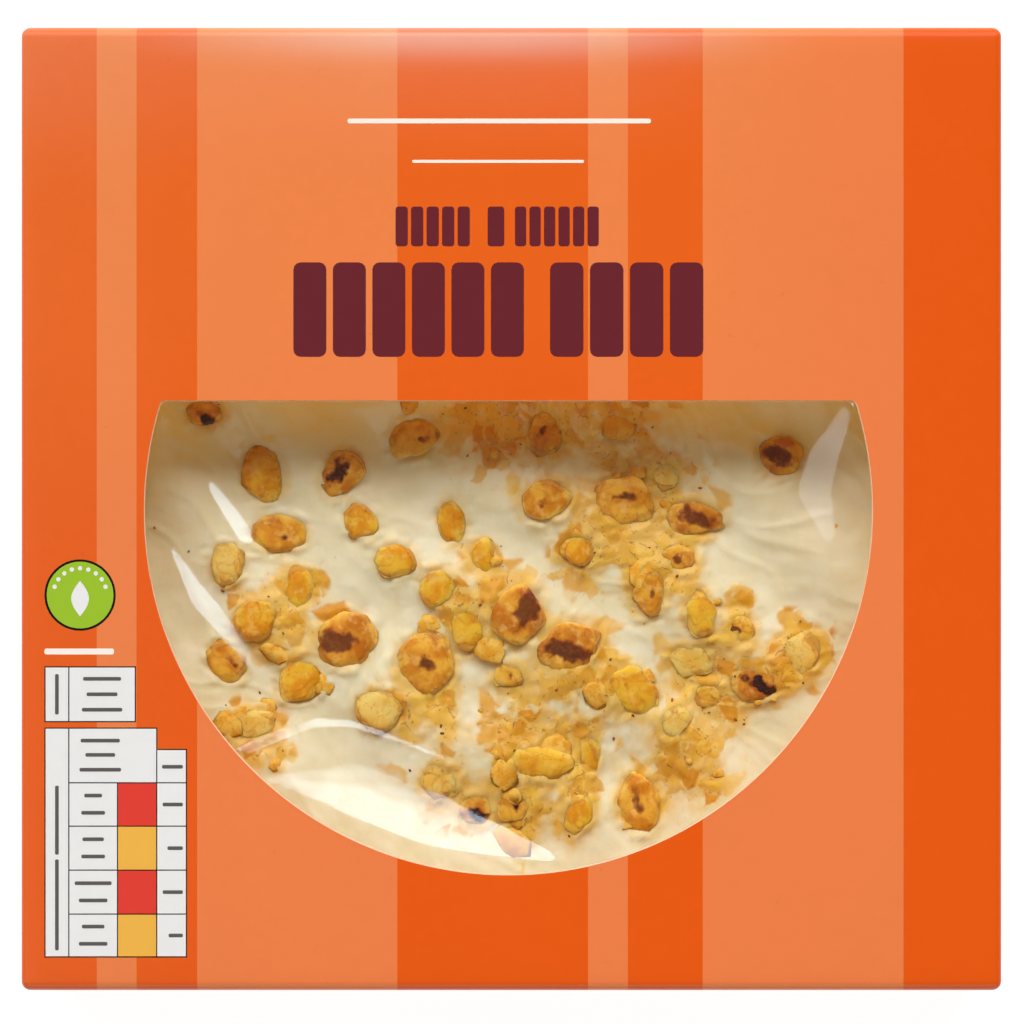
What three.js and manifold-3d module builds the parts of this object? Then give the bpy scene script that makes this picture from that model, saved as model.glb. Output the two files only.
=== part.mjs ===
// A boxed carrot cake: a folded carton with a D-shaped window, a clear film glued behind the
// window, and inside it a round sponge with a spread cream topping and pieces of toasted walnut.
// Millimetres, +Z up. The origin is the middle of the carton's underside; the window faces +Z,
// and its straight edge is on the +Y side.
import * as THREE from "three";
import { RoundedBoxGeometry } from "three/addons/geometries/RoundedBoxGeometry.js";
import { mergeVertices } from "three/addons/utils/BufferGeometryUtils.js";
import Module from "manifold-3d";

const wasm = await Module();
wasm.setup();

// ---- Driving dimensions -----------------------------------------------------------------------

const CARTON = { width: 165, depth: 162.2, height: 52, board: 0.6, foldRadius: 1.3, foldSegments: 2 };
const WINDOW = { x: -0.5, y: -0.3, radius: 61.2, straightEdge: 18.4, cornerRadius: 1.2 };
const FLAP = { step: 0.5, top: 36, foldTop: 49.5 };
const FILM = { overlap: 7, thickness: 0.3, glueGap: 0.1, columns: 18, rows: 13, fade: 5 };
const SPONGE = { radius: 74, top: 28, edgeRadius: 5, edgeSteps: 2, crumb: 0.45, sectors: 48 };
const CREAM = { radius: 75, top: 36.4, edge: 5, lip: 1.5, footInset: 0.8, rings: 17, edgeRings: 3, sectors: 60 };
const CRUMBS = { count: 64, smallest: 0.9, largest: 2.3, clearOfNuts: 0.5, apart: 0.5, nearest: 1.5, scatter: 4.5 };
const CRUMB_FORM = { length: 1.2, width: 0.9, height: 0.75, lift: 0.1 };
const SEAT_GAP = 0.3;

// Colour, roughness and opacity: printed board, film, sponge, cream and the four looks of walnut.
const FINISH = {
  carton: [0xea6320, 0.45],
  film: [0xf2f2ee, 0.08, 0.18],
  sponge: [0xa8672e, 0.9],
  cream: [0xefe6c6, 0.5],
  gold: [0xd9a13c, 0.45],
  pale: [0xe2c272, 0.5],
  toasted: [0xb87a30, 0.5],
  dark: [0x6b3528, 0.5],
};

// Pieces of walnut under the window: place, length, width, turn in degrees from +X, and look.
const NUTS = [
  [-42.1, 6.6, 9.6, 8.6, 80, "gold"],
  [-28.8, 4.9, 8.8, 6.6, 70, "dark"],
  [-39.3, -4.4, 9.8, 7.0, -10, "toasted"],
  [-48.6, -9.3, 7.6, 6.3, 80, "pale"],
  [-25.2, -2.6, 7.6, 5.2, -60, "gold"],
  [-19.8, -8.3, 7.6, 6.2, -15, "gold"],
  [-9.8, -2.4, 8.0, 5.2, -80, "gold"],
  [-5.2, -7.6, 7.2, 4.0, -75, "gold"],
  [-36.8, -14.0, 7.8, 5.6, 70, "gold"],
  [-43.0, -18.6, 8.4, 6.8, 30, "gold"],
  [-48.2, -25.4, 8.8, 6.2, -50, "toasted"],
  [-13.4, -12.6, 6.6, 5.4, -40, "gold"],
  [-16.6, 12.4, 9.4, 6.8, 20, "toasted"],
  [-52.0, 16.4, 6.8, 5.0, 0, "dark"],
  [5.6, 1.4, 8.8, 6.4, 20, "toasted"],
  [19.4, 1.2, 10.4, 8.6, -35, "toasted"],
  [30.3, -1.6, 9.8, 6.4, -10, "dark"],
  [26.6, 6.0, 6.0, 4.6, 30, "pale"],
  [11.4, -6.8, 6.8, 5.2, -15, "gold"],
  [24.0, -14.4, 8.8, 5.6, 70, "toasted"],
  [28.6, -8.4, 6.2, 4.2, -10, "toasted"],
  [45.4, 8.9, 7.9, 7.4, 40, "dark"],
  [5.6, 12.6, 8.0, 6.4, 70, "toasted"],
  [32.6, -18.6, 8.8, 5.0, -75, "gold"],
  [38.4, -20.6, 5.4, 4.6, -40, "toasted"],
  [-28.6, -22.8, 9.2, 8.0, 80, "dark"],
  [-35.2, -28.6, 8.4, 7.6, 20, "gold"],
  [-14.7, -26.3, 10.4, 8.6, -60, "toasted"],
  [-22.6, -33.9, 8.0, 7.4, -30, "pale"],
  [-43.6, -37.0, 7.6, 5.4, 20, "pale"],
  [-12.6, -46.6, 6.8, 6.0, 20, "pale"],
  [-6.0, -51.4, 5.8, 5.2, -60, "dark"],
  [0.6, -18.6, 10.2, 8.2, 70, "dark"],
  [-6.8, -20.4, 8.4, 5.4, -75, "gold"],
  [-0.2, -28.4, 6.2, 5.4, 0, "toasted"],
  [9.6, -23.4, 11.4, 7.4, 20, "dark"],
  [20.6, -30.9, 11.2, 6.2, -55, "gold"],
  [31.2, -26.0, 7.8, 5.4, -15, "pale"],
  [41.4, -29.6, 8.2, 5.2, 15, "dark"],
  [34.2, -31.6, 6.0, 4.2, 10, "toasted"],
  [48.4, -25.2, 7.4, 6.2, 40, "pale"],
  [27.6, -36.2, 5.8, 4.8, 30, "pale"],
  [21.5, -50.3, 10.0, 7.6, -70, "toasted"],
  [5.0, -43.6, 11.6, 6.4, -10, "gold"],
  [13.2, -41.8, 7.0, 3.8, -80, "gold"],
  [0.8, -50.2, 6.4, 5.6, 60, "toasted"],
  [11.4, -51.8, 6.6, 5.0, 80, "gold"],
];
// More pieces lie under the carton's top, beyond the window.
const RIM_NUTS = { count: 7, radius: 66.5, inward: 18, leastY: 26, length: 8.4, width: 6.4, from: 22, to: 158 };

// ---- Shared tools -----------------------------------------------------------------------------

// Seeded random numbers from 0 to 1.
function randomFrom(seed) {
  let state = seed >>> 0;
  return () => {
    state = (state + 0x6d2b79f5) >>> 0;
    let t = Math.imul(state ^ (state >>> 15), 1 | state);
    t = (t + Math.imul(t ^ (t >>> 7), 61 | t)) ^ t;
    return ((t ^ (t >>> 14)) >>> 0) / 4294967296;
  };
}

// A closed three.js geometry as a manifold solid.
function solidOf(geometry) {
  const plain = new THREE.BufferGeometry();
  plain.setAttribute("position", geometry.getAttribute("position"));
  plain.setIndex(geometry.getIndex());
  const merged = mergeVertices(plain, 1e-4);
  const corners = merged.index.array;
  const faces = [];
  for (let i = 0; i < corners.length; i += 3) {
    const [a, b, c] = [corners[i], corners[i + 1], corners[i + 2]];
    if (a !== b && b !== c && a !== c) faces.push(a, b, c);
  }
  return new wasm.Manifold(
    new wasm.Mesh({
      numProp: 3,
      vertProperties: new Float32Array(merged.attributes.position.array),
      triVerts: new Uint32Array(faces),
    }),
  );
}

// A manifold solid as a three.js geometry.
function geometryOf(solid) {
  const mesh = solid.getMesh();
  const points = new Float32Array(mesh.numVert * 3);
  for (let i = 0; i < mesh.numVert; i++) {
    points.set(mesh.vertProperties.subarray(i * mesh.numProp, i * mesh.numProp + 3), i * 3);
  }
  const geometry = new THREE.BufferGeometry();
  geometry.setAttribute("position", new THREE.BufferAttribute(points, 3));
  geometry.setIndex(new THREE.BufferAttribute(mesh.triVerts, 1));
  return geometry;
}

// Joins or cuts a list of geometries and gives the result back as a geometry.
const cutFrom = (base, tools) =>
  geometryOf(tools.map(solidOf).reduce((left, tool) => left.subtract(tool), solidOf(base)));
const joined = (geometries) => geometryOf(wasm.Manifold.union(geometries.map(solidOf)));

function indexed(points, faces) {
  const geometry = new THREE.BufferGeometry();
  geometry.setAttribute("position", new THREE.Float32BufferAttribute(points, 3));
  geometry.setIndex(faces);
  return geometry;
}

const smoothstep = (low, high, value) => THREE.MathUtils.smoothstep(value, low, high);

// ---- Carton: one folded blank of board --------------------------------------------------------

// The window is a circle cut off by a straight edge, with slightly rounded corners.
function windowShape() {
  const { x, y, radius, straightEdge, cornerRadius } = WINDOW;
  const corner = Math.asin(straightEdge / radius);
  const round = cornerRadius / radius;
  const halfEdge = radius * Math.cos(corner) - cornerRadius;
  const shape = new THREE.Shape();
  shape.moveTo(x - halfEdge, y + straightEdge);
  shape.lineTo(x + halfEdge, y + straightEdge);
  shape.quadraticCurveTo(
    x + radius * Math.cos(corner),
    y + straightEdge,
    x + radius * Math.cos(corner - round),
    y + radius * Math.sin(corner - round),
  );
  shape.absarc(x, y, radius, corner - round, Math.PI - corner + round, true);
  shape.quadraticCurveTo(
    x - radius * Math.cos(corner),
    y + straightEdge,
    x - halfEdge,
    y + straightEdge,
  );
  return shape;
}

// Each end is closed by two flaps: the upper one leans in behind the edge of the lower one.
function flapWedge(side) {
  const outer = CARTON.width / 2 + 1;
  const face = CARTON.width / 2;
  const wedge = new THREE.Shape();
  wedge.moveTo(face - FLAP.step, FLAP.top);
  wedge.lineTo(outer, FLAP.top);
  wedge.lineTo(outer, FLAP.foldTop);
  wedge.lineTo(face, FLAP.foldTop);
  const prism = new THREE.ExtrudeGeometry(wedge, { depth: CARTON.depth + 2, bevelEnabled: false });
  prism.rotateX(Math.PI / 2);
  prism.translate(0, CARTON.depth / 2 + 1, 0);
  if (side < 0) prism.rotateZ(Math.PI);
  return prism;
}

function cartonGeometry() {
  const { width, depth, height, board, foldRadius, foldSegments } = CARTON;
  const shell = new RoundedBoxGeometry(width, depth, height, foldSegments, foldRadius);
  shell.translate(0, 0, height / 2);
  const hollow = new THREE.BoxGeometry(width - 4 * board, depth - 2 * board, height - 2 * board);
  hollow.translate(0, 0, height / 2);
  const cut = new THREE.ExtrudeGeometry(windowShape(), {
    depth: 4,
    curveSegments: 48,
    bevelEnabled: false,
  });
  cut.translate(0, 0, height - 2);
  return cutFrom(shell, [hollow, cut, flapWedge(1), flapWedge(-1)]);
}

// ---- Window film ------------------------------------------------------------------------------

// Soft folds in the film: a line from one point to another, its half width and its rise.
const FOLDS = [
  [-52, 12, -40, -10, 6, -0.9],
  [-58, -6, -20, -46, 7, -1.1],
  [-44, -42, 4, -48, 7, 0.0],
  [-30, -50, 6, -58, 6, -1.0],
  [50, 16, 56, -10, 6, -0.9],
];

// How far the film stands above (or below) its glued plane at a point.
function filmRise(x, y) {
  const acrossEdge = Math.min(
    WINDOW.radius - Math.hypot(x - WINDOW.x, y - WINDOW.y),
    WINDOW.y + WINDOW.straightEdge - y,
  );
  let rise = 0;
  for (const [x1, y1, x2, y2, halfWidth, height] of FOLDS) {
    const length = Math.hypot(x2 - x1, y2 - y1);
    const along = ((x - x1) * (x2 - x1) + (y - y1) * (y2 - y1)) / length ** 2;
    const nearest = THREE.MathUtils.clamp(along, 0, 1);
    const away = Math.hypot(x - x1 - nearest * (x2 - x1), y - y1 - nearest * (y2 - y1));
    rise += height * Math.exp(-((away / halfWidth) ** 2));
  }
  return rise * smoothstep(0, FILM.fade, acrossEdge);
}

function filmGeometry() {
  const { overlap, thickness, glueGap, columns, rows } = FILM;
  const left = WINDOW.x - WINDOW.radius - overlap;
  const right = WINDOW.x + WINDOW.radius + overlap;
  const front = WINDOW.y - WINDOW.radius - overlap;
  const back = WINDOW.y + WINDOW.straightEdge + overlap;
  const top = CARTON.height - CARTON.board - glueGap;
  const points = [];
  for (const drop of [0, thickness]) {
    for (let j = 0; j <= rows; j++) {
      for (let i = 0; i <= columns; i++) {
        const x = left + ((right - left) * i) / columns;
        const y = front + ((back - front) * j) / rows;
        points.push(x, y, top + filmRise(x, y) - drop);
      }
    }
  }
  const layer = (columns + 1) * (rows + 1);
  const at = (i, j) => j * (columns + 1) + i;
  const faces = [];
  const quad = (a, b, c, d) => faces.push(a, b, c, a, c, d);
  for (let j = 0; j < rows; j++) {
    for (let i = 0; i < columns; i++) {
      const [a, b, c, d] = [at(i, j), at(i + 1, j), at(i + 1, j + 1), at(i, j + 1)];
      quad(a, b, c, d);
      quad(layer + a, layer + d, layer + c, layer + b);
    }
  }
  for (let i = 0; i < columns; i++) {
    quad(at(i + 1, 0), at(i, 0), layer + at(i, 0), layer + at(i + 1, 0));
    quad(at(i, rows), at(i + 1, rows), layer + at(i + 1, rows), layer + at(i, rows));
  }
  for (let j = 0; j < rows; j++) {
    quad(at(0, j), at(0, j + 1), layer + at(0, j + 1), layer + at(0, j));
    quad(at(columns, j + 1), at(columns, j), layer + at(columns, j), layer + at(columns, j + 1));
  }
  return indexed(points, faces);
}

// ---- Sponge and cream -------------------------------------------------------------------------

// A round sponge with a rounded lower and upper edge and an uneven crumb on its side.
function spongeGeometry() {
  const { radius, top, edgeRadius, edgeSteps, crumb, sectors } = SPONGE;
  const bottom = CARTON.board + SEAT_GAP;
  const profile = [new THREE.Vector2(0, bottom)];
  for (let k = 0; k <= edgeSteps; k++) {
    const turn = (k / edgeSteps) * (Math.PI / 2);
    const inset = edgeRadius * (1 - Math.sin(turn));
    profile.push(new THREE.Vector2(radius - inset, bottom + edgeRadius * (1 - Math.cos(turn))));
  }
  profile.push(new THREE.Vector2(radius, (bottom + top) / 2));
  for (let k = 0; k <= edgeSteps; k++) {
    const turn = (k / edgeSteps) * (Math.PI / 2);
    const inset = edgeRadius * (1 - Math.cos(turn));
    profile.push(new THREE.Vector2(radius - inset, top - edgeRadius * (1 - Math.sin(turn))));
  }
  profile.push(new THREE.Vector2(0, top));
  const sponge = new THREE.LatheGeometry(profile, sectors);
  sponge.rotateX(Math.PI / 2);
  const points = sponge.getAttribute("position");
  for (let i = 0; i < points.count; i++) {
    const [x, y, z] = [points.getX(i), points.getY(i), points.getZ(i)];
    const reach = Math.hypot(x, y);
    if (reach < radius - edgeRadius - 1) continue;
    const turn = Math.atan2(y, x);
    const wobble = Math.sin(5 * turn + z * 0.3) + Math.sin(11 * turn - z * 0.7);
    const scale = 1 + (crumb * wobble) / reach;
    points.setXY(i, x * scale, y * scale);
  }
  return sponge;
}

// The cream was drawn across the cake in long diagonal strokes of a palette knife.
const STROKES = { turn: 0.87, spacing: 21, depth: 0.75, bend: 3.4, ripple: 0.35 };

function creamHeight(x, y) {
  const across = x * Math.cos(STROKES.turn) + y * Math.sin(STROKES.turn);
  const along = y * Math.cos(STROKES.turn) - x * Math.sin(STROKES.turn);
  const bend = STROKES.bend * Math.sin(along / 16 + 0.8) + 1.6 * Math.sin(along / 7.3 + across / 23);
  const stroke = STROKES.depth * Math.sin((2 * Math.PI * (across + bend)) / STROKES.spacing);
  const ripple = STROKES.ripple * Math.sin(x / 5.1 + 1.3 * Math.sin(y / 8.7)) * Math.sin(y / 6.3 + 0.7);
  return CREAM.top + stroke + ripple;
}

// The topping's outline, a little uneven where the cream was spread to the rim.
const creamRadius = (turn) =>
  CREAM.radius + 0.7 * Math.sin(3 * turn + 1) + 0.5 * Math.sin(7 * turn) - 0.6;

function creamGeometry() {
  const { edge, lip, footInset, rings, edgeRings, sectors } = CREAM;
  const bottom = SPONGE.top + SEAT_GAP;
  const points = [0, 0, creamHeight(0, 0)];
  const faces = [];
  for (let k = 1; k <= rings + edgeRings; k++) {
    for (let s = 0; s < sectors; s++) {
      const turn = (2 * Math.PI * s) / sectors;
      const reach = creamRadius(turn);
      const flat = reach - edge;
      const lean = Math.max(0, k - rings) / edgeRings;
      const radius = k <= rings ? (flat * k) / rings : flat + edge * Math.sin((lean * Math.PI) / 2);
      const [x, y] = [radius * Math.cos(turn), radius * Math.sin(turn)];
      const sag = (creamHeight(x, y) - bottom - lip) * (1 - Math.cos((lean * Math.PI) / 2));
      points.push(x, y, creamHeight(x, y) - sag);
    }
  }
  const ring = (k, s) => (k === 0 ? 0 : 1 + (k - 1) * sectors + (s % sectors));
  const last = rings + edgeRings;
  for (let s = 0; s < sectors; s++) {
    faces.push(0, ring(1, s), ring(1, s + 1));
    for (let k = 1; k < last; k++) {
      faces.push(ring(k, s), ring(k + 1, s), ring(k + 1, s + 1));
      faces.push(ring(k, s), ring(k + 1, s + 1), ring(k, s + 1));
    }
  }
  const foot = points.length / 3;
  for (let s = 0; s < sectors; s++) {
    const turn = (2 * Math.PI * s) / sectors;
    const reach = creamRadius(turn) - footInset;
    points.push(reach * Math.cos(turn), reach * Math.sin(turn), bottom);
  }
  points.push(0, 0, bottom);
  for (let s = 0; s < sectors; s++) {
    const [a, b] = [foot + s, foot + ((s + 1) % sectors)];
    faces.push(ring(last, s), a, b, ring(last, s), b, ring(last, s + 1));
    faces.push(a, foot + sectors, b);
  }
  return indexed(points, faces);
}

// ---- Walnut pieces ----------------------------------------------------------------------------

const LUMPS = { gold: 0.16, pale: 0.19, toasted: 0.21, dark: 0.22 };
const NUT = { growth: 1.1, nudges: 60, packing: 1.04, fineOver: 10.1, seat: 0.45, lift: 0.4, under: 0.35 };
// How tall half a piece stands: a share of its width, and a little more.
const NUT_HEIGHT = { share: 0.28, more: 0.5 };

// How far a piece reaches from its middle towards a direction.
function reachOf(place, direction) {
  const turn = direction - place.turn;
  return Math.hypot((place.length / 2) * Math.cos(turn), (place.width / 2) * Math.sin(turn));
}

// Nudges neighbours apart until each pair keeps the seat gap.
function spreadApart(places) {
  for (let round = 0; round < NUT.nudges; round++) {
    places.forEach((a, i) =>
      places.slice(i + 1).forEach((b) => {
        const direction = Math.atan2(b.y - a.y, b.x - a.x);
        const reach = reachOf(a, direction) + reachOf(b, direction);
        const short = NUT.packing * reach + SEAT_GAP - Math.hypot(b.x - a.x, b.y - a.y);
        if (short <= 0) return;
        a.x -= (short / 2) * Math.cos(direction);
        a.y -= (short / 2) * Math.sin(direction);
        b.x += (short / 2) * Math.cos(direction);
        b.y += (short / 2) * Math.sin(direction);
      }),
    );
  }
  return places;
}

// Pieces under the window, then a row of them by rule under the carton's top.
function nutPlaces() {
  const places = NUTS.map(([x, y, length, width, degrees, look]) => ({
    x,
    y,
    length: length * NUT.growth,
    width: width * NUT.growth,
    turn: THREE.MathUtils.degToRad(degrees),
    look,
  }));
  const random = randomFrom(31);
  const looks = ["gold", "toasted", "pale"];
  for (let k = 0; k < RIM_NUTS.count; k++) {
    const share = (k + 0.3 * random()) / (RIM_NUTS.count - 1);
    const turn = THREE.MathUtils.degToRad(THREE.MathUtils.lerp(RIM_NUTS.from, RIM_NUTS.to, share));
    const reach = RIM_NUTS.radius - RIM_NUTS.inward * random() * Math.sin(turn);
    places.push({
      x: reach * Math.cos(turn),
      y: Math.max(RIM_NUTS.leastY, reach * Math.sin(turn)),
      length: RIM_NUTS.length * (0.85 + 0.3 * random()),
      width: RIM_NUTS.width * (0.85 + 0.3 * random()),
      turn: Math.PI * random(),
      look: looks[k % looks.length],
    });
  }
  return spreadApart(places);
}

// A broken piece of kernel: a lobed lump whose underside follows the cream.
function nutGeometry(place, index) {
  const detail = place.length > NUT.fineOver ? 2 : 1;
  const lump = new THREE.IcosahedronGeometry(1, detail);
  const random = randomFrom(101 + 17 * index);
  const phases = [random(), random(), random(), random()].map((r) => r * 2 * Math.PI);
  const depth = LUMPS[place.look];
  const tall = NUT_HEIGHT.share * place.width + NUT_HEIGHT.more;
  const points = lump.getAttribute("position");
  const [cosTurn, sinTurn] = [Math.cos(place.turn), Math.sin(place.turn)];
  for (let i = 0; i < points.count; i++) {
    const [x, y, z] = [points.getX(i), points.getY(i), points.getZ(i)];
    const lobes =
      Math.sin(2.6 * x + phases[0]) * Math.cos(2.9 * y + phases[1]) +
      0.6 * Math.sin(4.1 * y + 3 * z + phases[2]) * Math.cos(3.7 * x + phases[3]);
    const swell = 1 + depth * (lobes - 0.3);
    const [along, across] = [(x * swell * place.length) / 2, (y * swell * place.width) / 2];
    const px = place.x + along * cosTurn - across * sinTurn;
    const py = place.y + along * sinTurn + across * cosTurn;
    const seat = creamHeight(px, py) + NUT.seat;
    const rise = NUT.lift * tall + (z > 0 ? z * swell * tall : NUT.under * z * tall);
    points.setXYZ(i, px, py, Math.max(creamHeight(place.x, place.y) + rise, seat));
  }
  return lump;
}

// Small crumbs of walnut pressed into the cream round the larger pieces.
function crumbGeometries(places) {
  const random = randomFrom(7);
  const crumbs = [];
  while (crumbs.length < CRUMBS.count) {
    const host = places[Math.floor(random() * places.length)];
    const away = host.length / 2 + CRUMBS.nearest + CRUMBS.scatter * random();
    const turn = 2 * Math.PI * random();
    const [x, y] = [host.x + away * Math.cos(turn), host.y + away * Math.sin(turn)];
    const size = THREE.MathUtils.lerp(CRUMBS.smallest, CRUMBS.largest, random() ** 2);
    const clear = places.every(
      (p) => Math.hypot(x - p.x, y - p.y) > p.length / 2 + size + CRUMBS.clearOfNuts,
    );
    const apart = crumbs.every((c) => Math.hypot(x - c.x, y - c.y) > size + c.size + CRUMBS.apart);
    if (!clear || !apart || Math.hypot(x, y) > CREAM.radius - CREAM.edge - 3) continue;
    const crumb = new THREE.IcosahedronGeometry(size, 0);
    crumb.scale(CRUMB_FORM.length, CRUMB_FORM.width, CRUMB_FORM.height);
    crumb.rotateZ(2 * Math.PI * random());
    crumb.translate(x, y, creamHeight(x, y) + CRUMB_FORM.lift * size);
    crumbs.push({ x, y, size, geometry: crumb });
  }
  return crumbs.map((c) => c.geometry);
}

// ---- Assembly ---------------------------------------------------------------------------------

function part(name, geometry, [color, roughness, opacity = 1]) {
  const transparent = opacity < 1;
  const surface = { color, roughness, metalness: 0, opacity, transparent };
  const material = new THREE.MeshStandardMaterial(surface);
  const mesh = new THREE.Mesh(geometry, material);
  mesh.name = name;
  return mesh;
}

const carrotCake = new THREE.Group();
carrotCake.name = "boxed_carrot_cake";
const nuts = nutPlaces();
const topping = joined([creamGeometry(), ...crumbGeometries(nuts)]);
carrotCake.add(
  part("carton", cartonGeometry(), FINISH.carton),
  part("window_film", filmGeometry(), FINISH.film),
  part("sponge", spongeGeometry(), FINISH.sponge),
  part("cream_topping", topping, FINISH.cream),
);
nuts.forEach((place, index) => {
  const number = String(index + 1).padStart(2, "0");
  const name = `walnut_${place.look}_${number}`;
  carrotCake.add(part(name, nutGeometry(place, index), FINISH[place.look]));
});

export default carrotCake;
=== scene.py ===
# A boxed carrot cake: a shut, printed carton with a D-shaped window, the clear film behind it,
# and inside it a round sponge with a spread cream topping, crumbs and pieces of toasted walnut.
import math

import bmesh
import bpy
import numpy as np
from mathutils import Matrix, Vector, noise
from mathutils.geometry import delaunay_2d_cdt


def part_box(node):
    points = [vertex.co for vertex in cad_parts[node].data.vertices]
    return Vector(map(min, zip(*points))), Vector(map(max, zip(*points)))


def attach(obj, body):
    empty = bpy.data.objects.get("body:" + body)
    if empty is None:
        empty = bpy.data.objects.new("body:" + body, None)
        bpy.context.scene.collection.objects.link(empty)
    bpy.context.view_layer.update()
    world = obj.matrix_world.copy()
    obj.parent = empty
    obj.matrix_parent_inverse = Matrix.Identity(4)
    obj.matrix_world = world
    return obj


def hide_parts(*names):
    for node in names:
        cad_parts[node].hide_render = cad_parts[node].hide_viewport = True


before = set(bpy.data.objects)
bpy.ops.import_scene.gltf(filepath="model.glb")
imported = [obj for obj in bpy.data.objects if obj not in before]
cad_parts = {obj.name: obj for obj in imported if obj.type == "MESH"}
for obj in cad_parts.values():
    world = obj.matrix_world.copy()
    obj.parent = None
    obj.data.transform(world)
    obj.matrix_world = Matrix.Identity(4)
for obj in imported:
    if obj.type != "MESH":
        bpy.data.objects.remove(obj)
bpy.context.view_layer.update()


# ---- Carton board -----------------------------------------------------------------------------
# One blank of coated board, white inside, printed in orange stripes and gloss varnished. It is die
# cut with the window, folded round the cake into a sleeve, and closed by glued flaps at both ends.

MM = 0.001  # shapes are worked out in millimetres and stored in metres
HALF_X, HALF_Y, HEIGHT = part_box("carton")[1] / MM
BOARD = 0.6  # thickness of the board
END_FOLD, SIDE_FOLD = 1.0, 1.6  # outer radii of the folds to the end flaps and to the side walls
PLAN_CORNER, LEAST_CORNER = 1.5, 0.15  # radius of the upright corners, outside and far inside
CORNER_STEPS, SIDE_STEPS, FOLD_STEPS, FOOT_STEPS = 5, 30, 8, 4
DIP, REACH = 0.1, 1.6  # how far the panel dips towards its folds, and over what distance
INK_ROOM = 0.03  # room over the panel for the layers of ink
PANEL_SAG, SAG_LENGTH = 0.12, 38  # unevenness of the large panel, and the length of its waves
FLAP_FOOT, FLAP_STEP = 49.4, 0.5  # where the upper end flap starts to lean in, and how far it leans
BORDER_INSETS = (9.0, 7.5, 6.2, 5.0, 4.0, 3.2, 2.6, 2.1)  # rings round the panel, closer at its folds
END_WALL = ((FLAP_FOOT, 0), (45, 0.33), (40, 0.7), (36, 1), (20, 1), (4, 1))  # heights, shares of lean
WINDOW = {"x": -0.5, "y": -0.3, "radius": 61.2, "straight": 18.4, "corner": 1.2}
WINDOW_STEPS = {"arc": 170, "edge": 40, "corner": 6}
WINDOW_BEVEL, BEVEL_DEPTH = 0.18, 0.2  # the crushed edge round the die-cut window
QUARTERS = ((1, 1), (-1, 1), (-1, -1), (1, -1))


def panel_height(x, y):
    """Height of the carton's top panel: flat, with a slight sag, dipping towards the folds."""
    dip = DIP * math.exp(-(HALF_X - END_FOLD - abs(x)) / REACH)
    dip += DIP * math.exp(-(HALF_Y - SIDE_FOLD - abs(y)) / REACH)
    sag = 0.5 + 0.5 * noise.noise(Vector((x / SAG_LENGTH, y / SAG_LENGTH, 4.2)))
    return HEIGHT - INK_ROOM - dip - PANEL_SAG * sag


def outline(inset_x, inset_y):
    """The carton's outline, moved in: x, y, and 0 on an end wall to 1 on a side wall."""
    radius = max(PLAN_CORNER - (inset_x + inset_y) / 2, LEAST_CORNER)
    corner_x, corner_y = HALF_X - inset_x - radius, HALF_Y - inset_y - radius
    points = []
    for quarter, (sx, sy) in enumerate(QUARTERS):
        for k in range(CORNER_STEPS + 1):
            angle = math.pi / 2 * (quarter + k / CORNER_STEPS)
            x, y = sx * corner_x + radius * math.cos(angle), sy * corner_y + radius * math.sin(angle)
            points.append((x, y, math.sin(angle) ** 2))
        from_x, from_y, share = points[-1]
        to_x = -from_x if quarter % 2 == 0 else from_x
        to_y = from_y if quarter % 2 == 0 else -from_y
        for k in range(1, SIDE_STEPS):
            along = k / SIDE_STEPS
            points.append((from_x + (to_x - from_x) * along, from_y + (to_y - from_y) * along, share))
    return points


def level_ring(inset_x, inset_y, height):
    return [(x, y, height) for x, y, _ in outline(inset_x, inset_y)]


def arc(x, y, radius, start, turn, steps, picked):
    """The picked ones of an arc's equal steps, as points."""
    angles = [start + turn * k / steps for k in picked]
    return [(x + radius * math.cos(angle), y + radius * math.sin(angle)) for angle in angles]


def window_outline(grow):
    """The D-shaped window's outline, grown outwards by a distance."""
    radius, top = WINDOW["radius"] + grow, WINDOW["straight"] + grow
    corner = WINDOW["corner"]
    middle_y = top - corner
    middle_x = math.sqrt((radius - corner) ** 2 - middle_y**2)
    joint = math.atan2(middle_y, middle_x)
    arc_steps, edge_steps, corner_steps = WINDOW_STEPS.values()
    bend = math.pi / 2 - joint, corner_steps, range(1, corner_steps)
    points = arc(0, 0, radius, math.pi - joint, math.pi + 2 * joint, arc_steps, range(arc_steps + 1))
    points += arc(middle_x, middle_y, corner, joint, *bend)
    points += [(middle_x - 2 * middle_x * k / edge_steps, top) for k in range(edge_steps + 1)]
    points += arc(-middle_x, middle_y, corner, math.pi / 2, *bend)
    return [(WINDOW["x"] + x, WINDOW["y"] + y) for x, y in points]


def inside(point, loop):
    """Whether a point lies inside a closed loop of points."""
    x, y = point
    hits = 0
    for (ax, ay), (bx, by) in zip(loop, loop[1:] + loop[:1]):
        if (ay > y) != (by > y) and x < ax + (y - ay) * (bx - ax) / (by - ay):
            hits += 1
    return hits % 2 == 1


def within(point, outer, holes):
    return inside(point, outer) and not any(inside(point, hole) for hole in holes)


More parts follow.
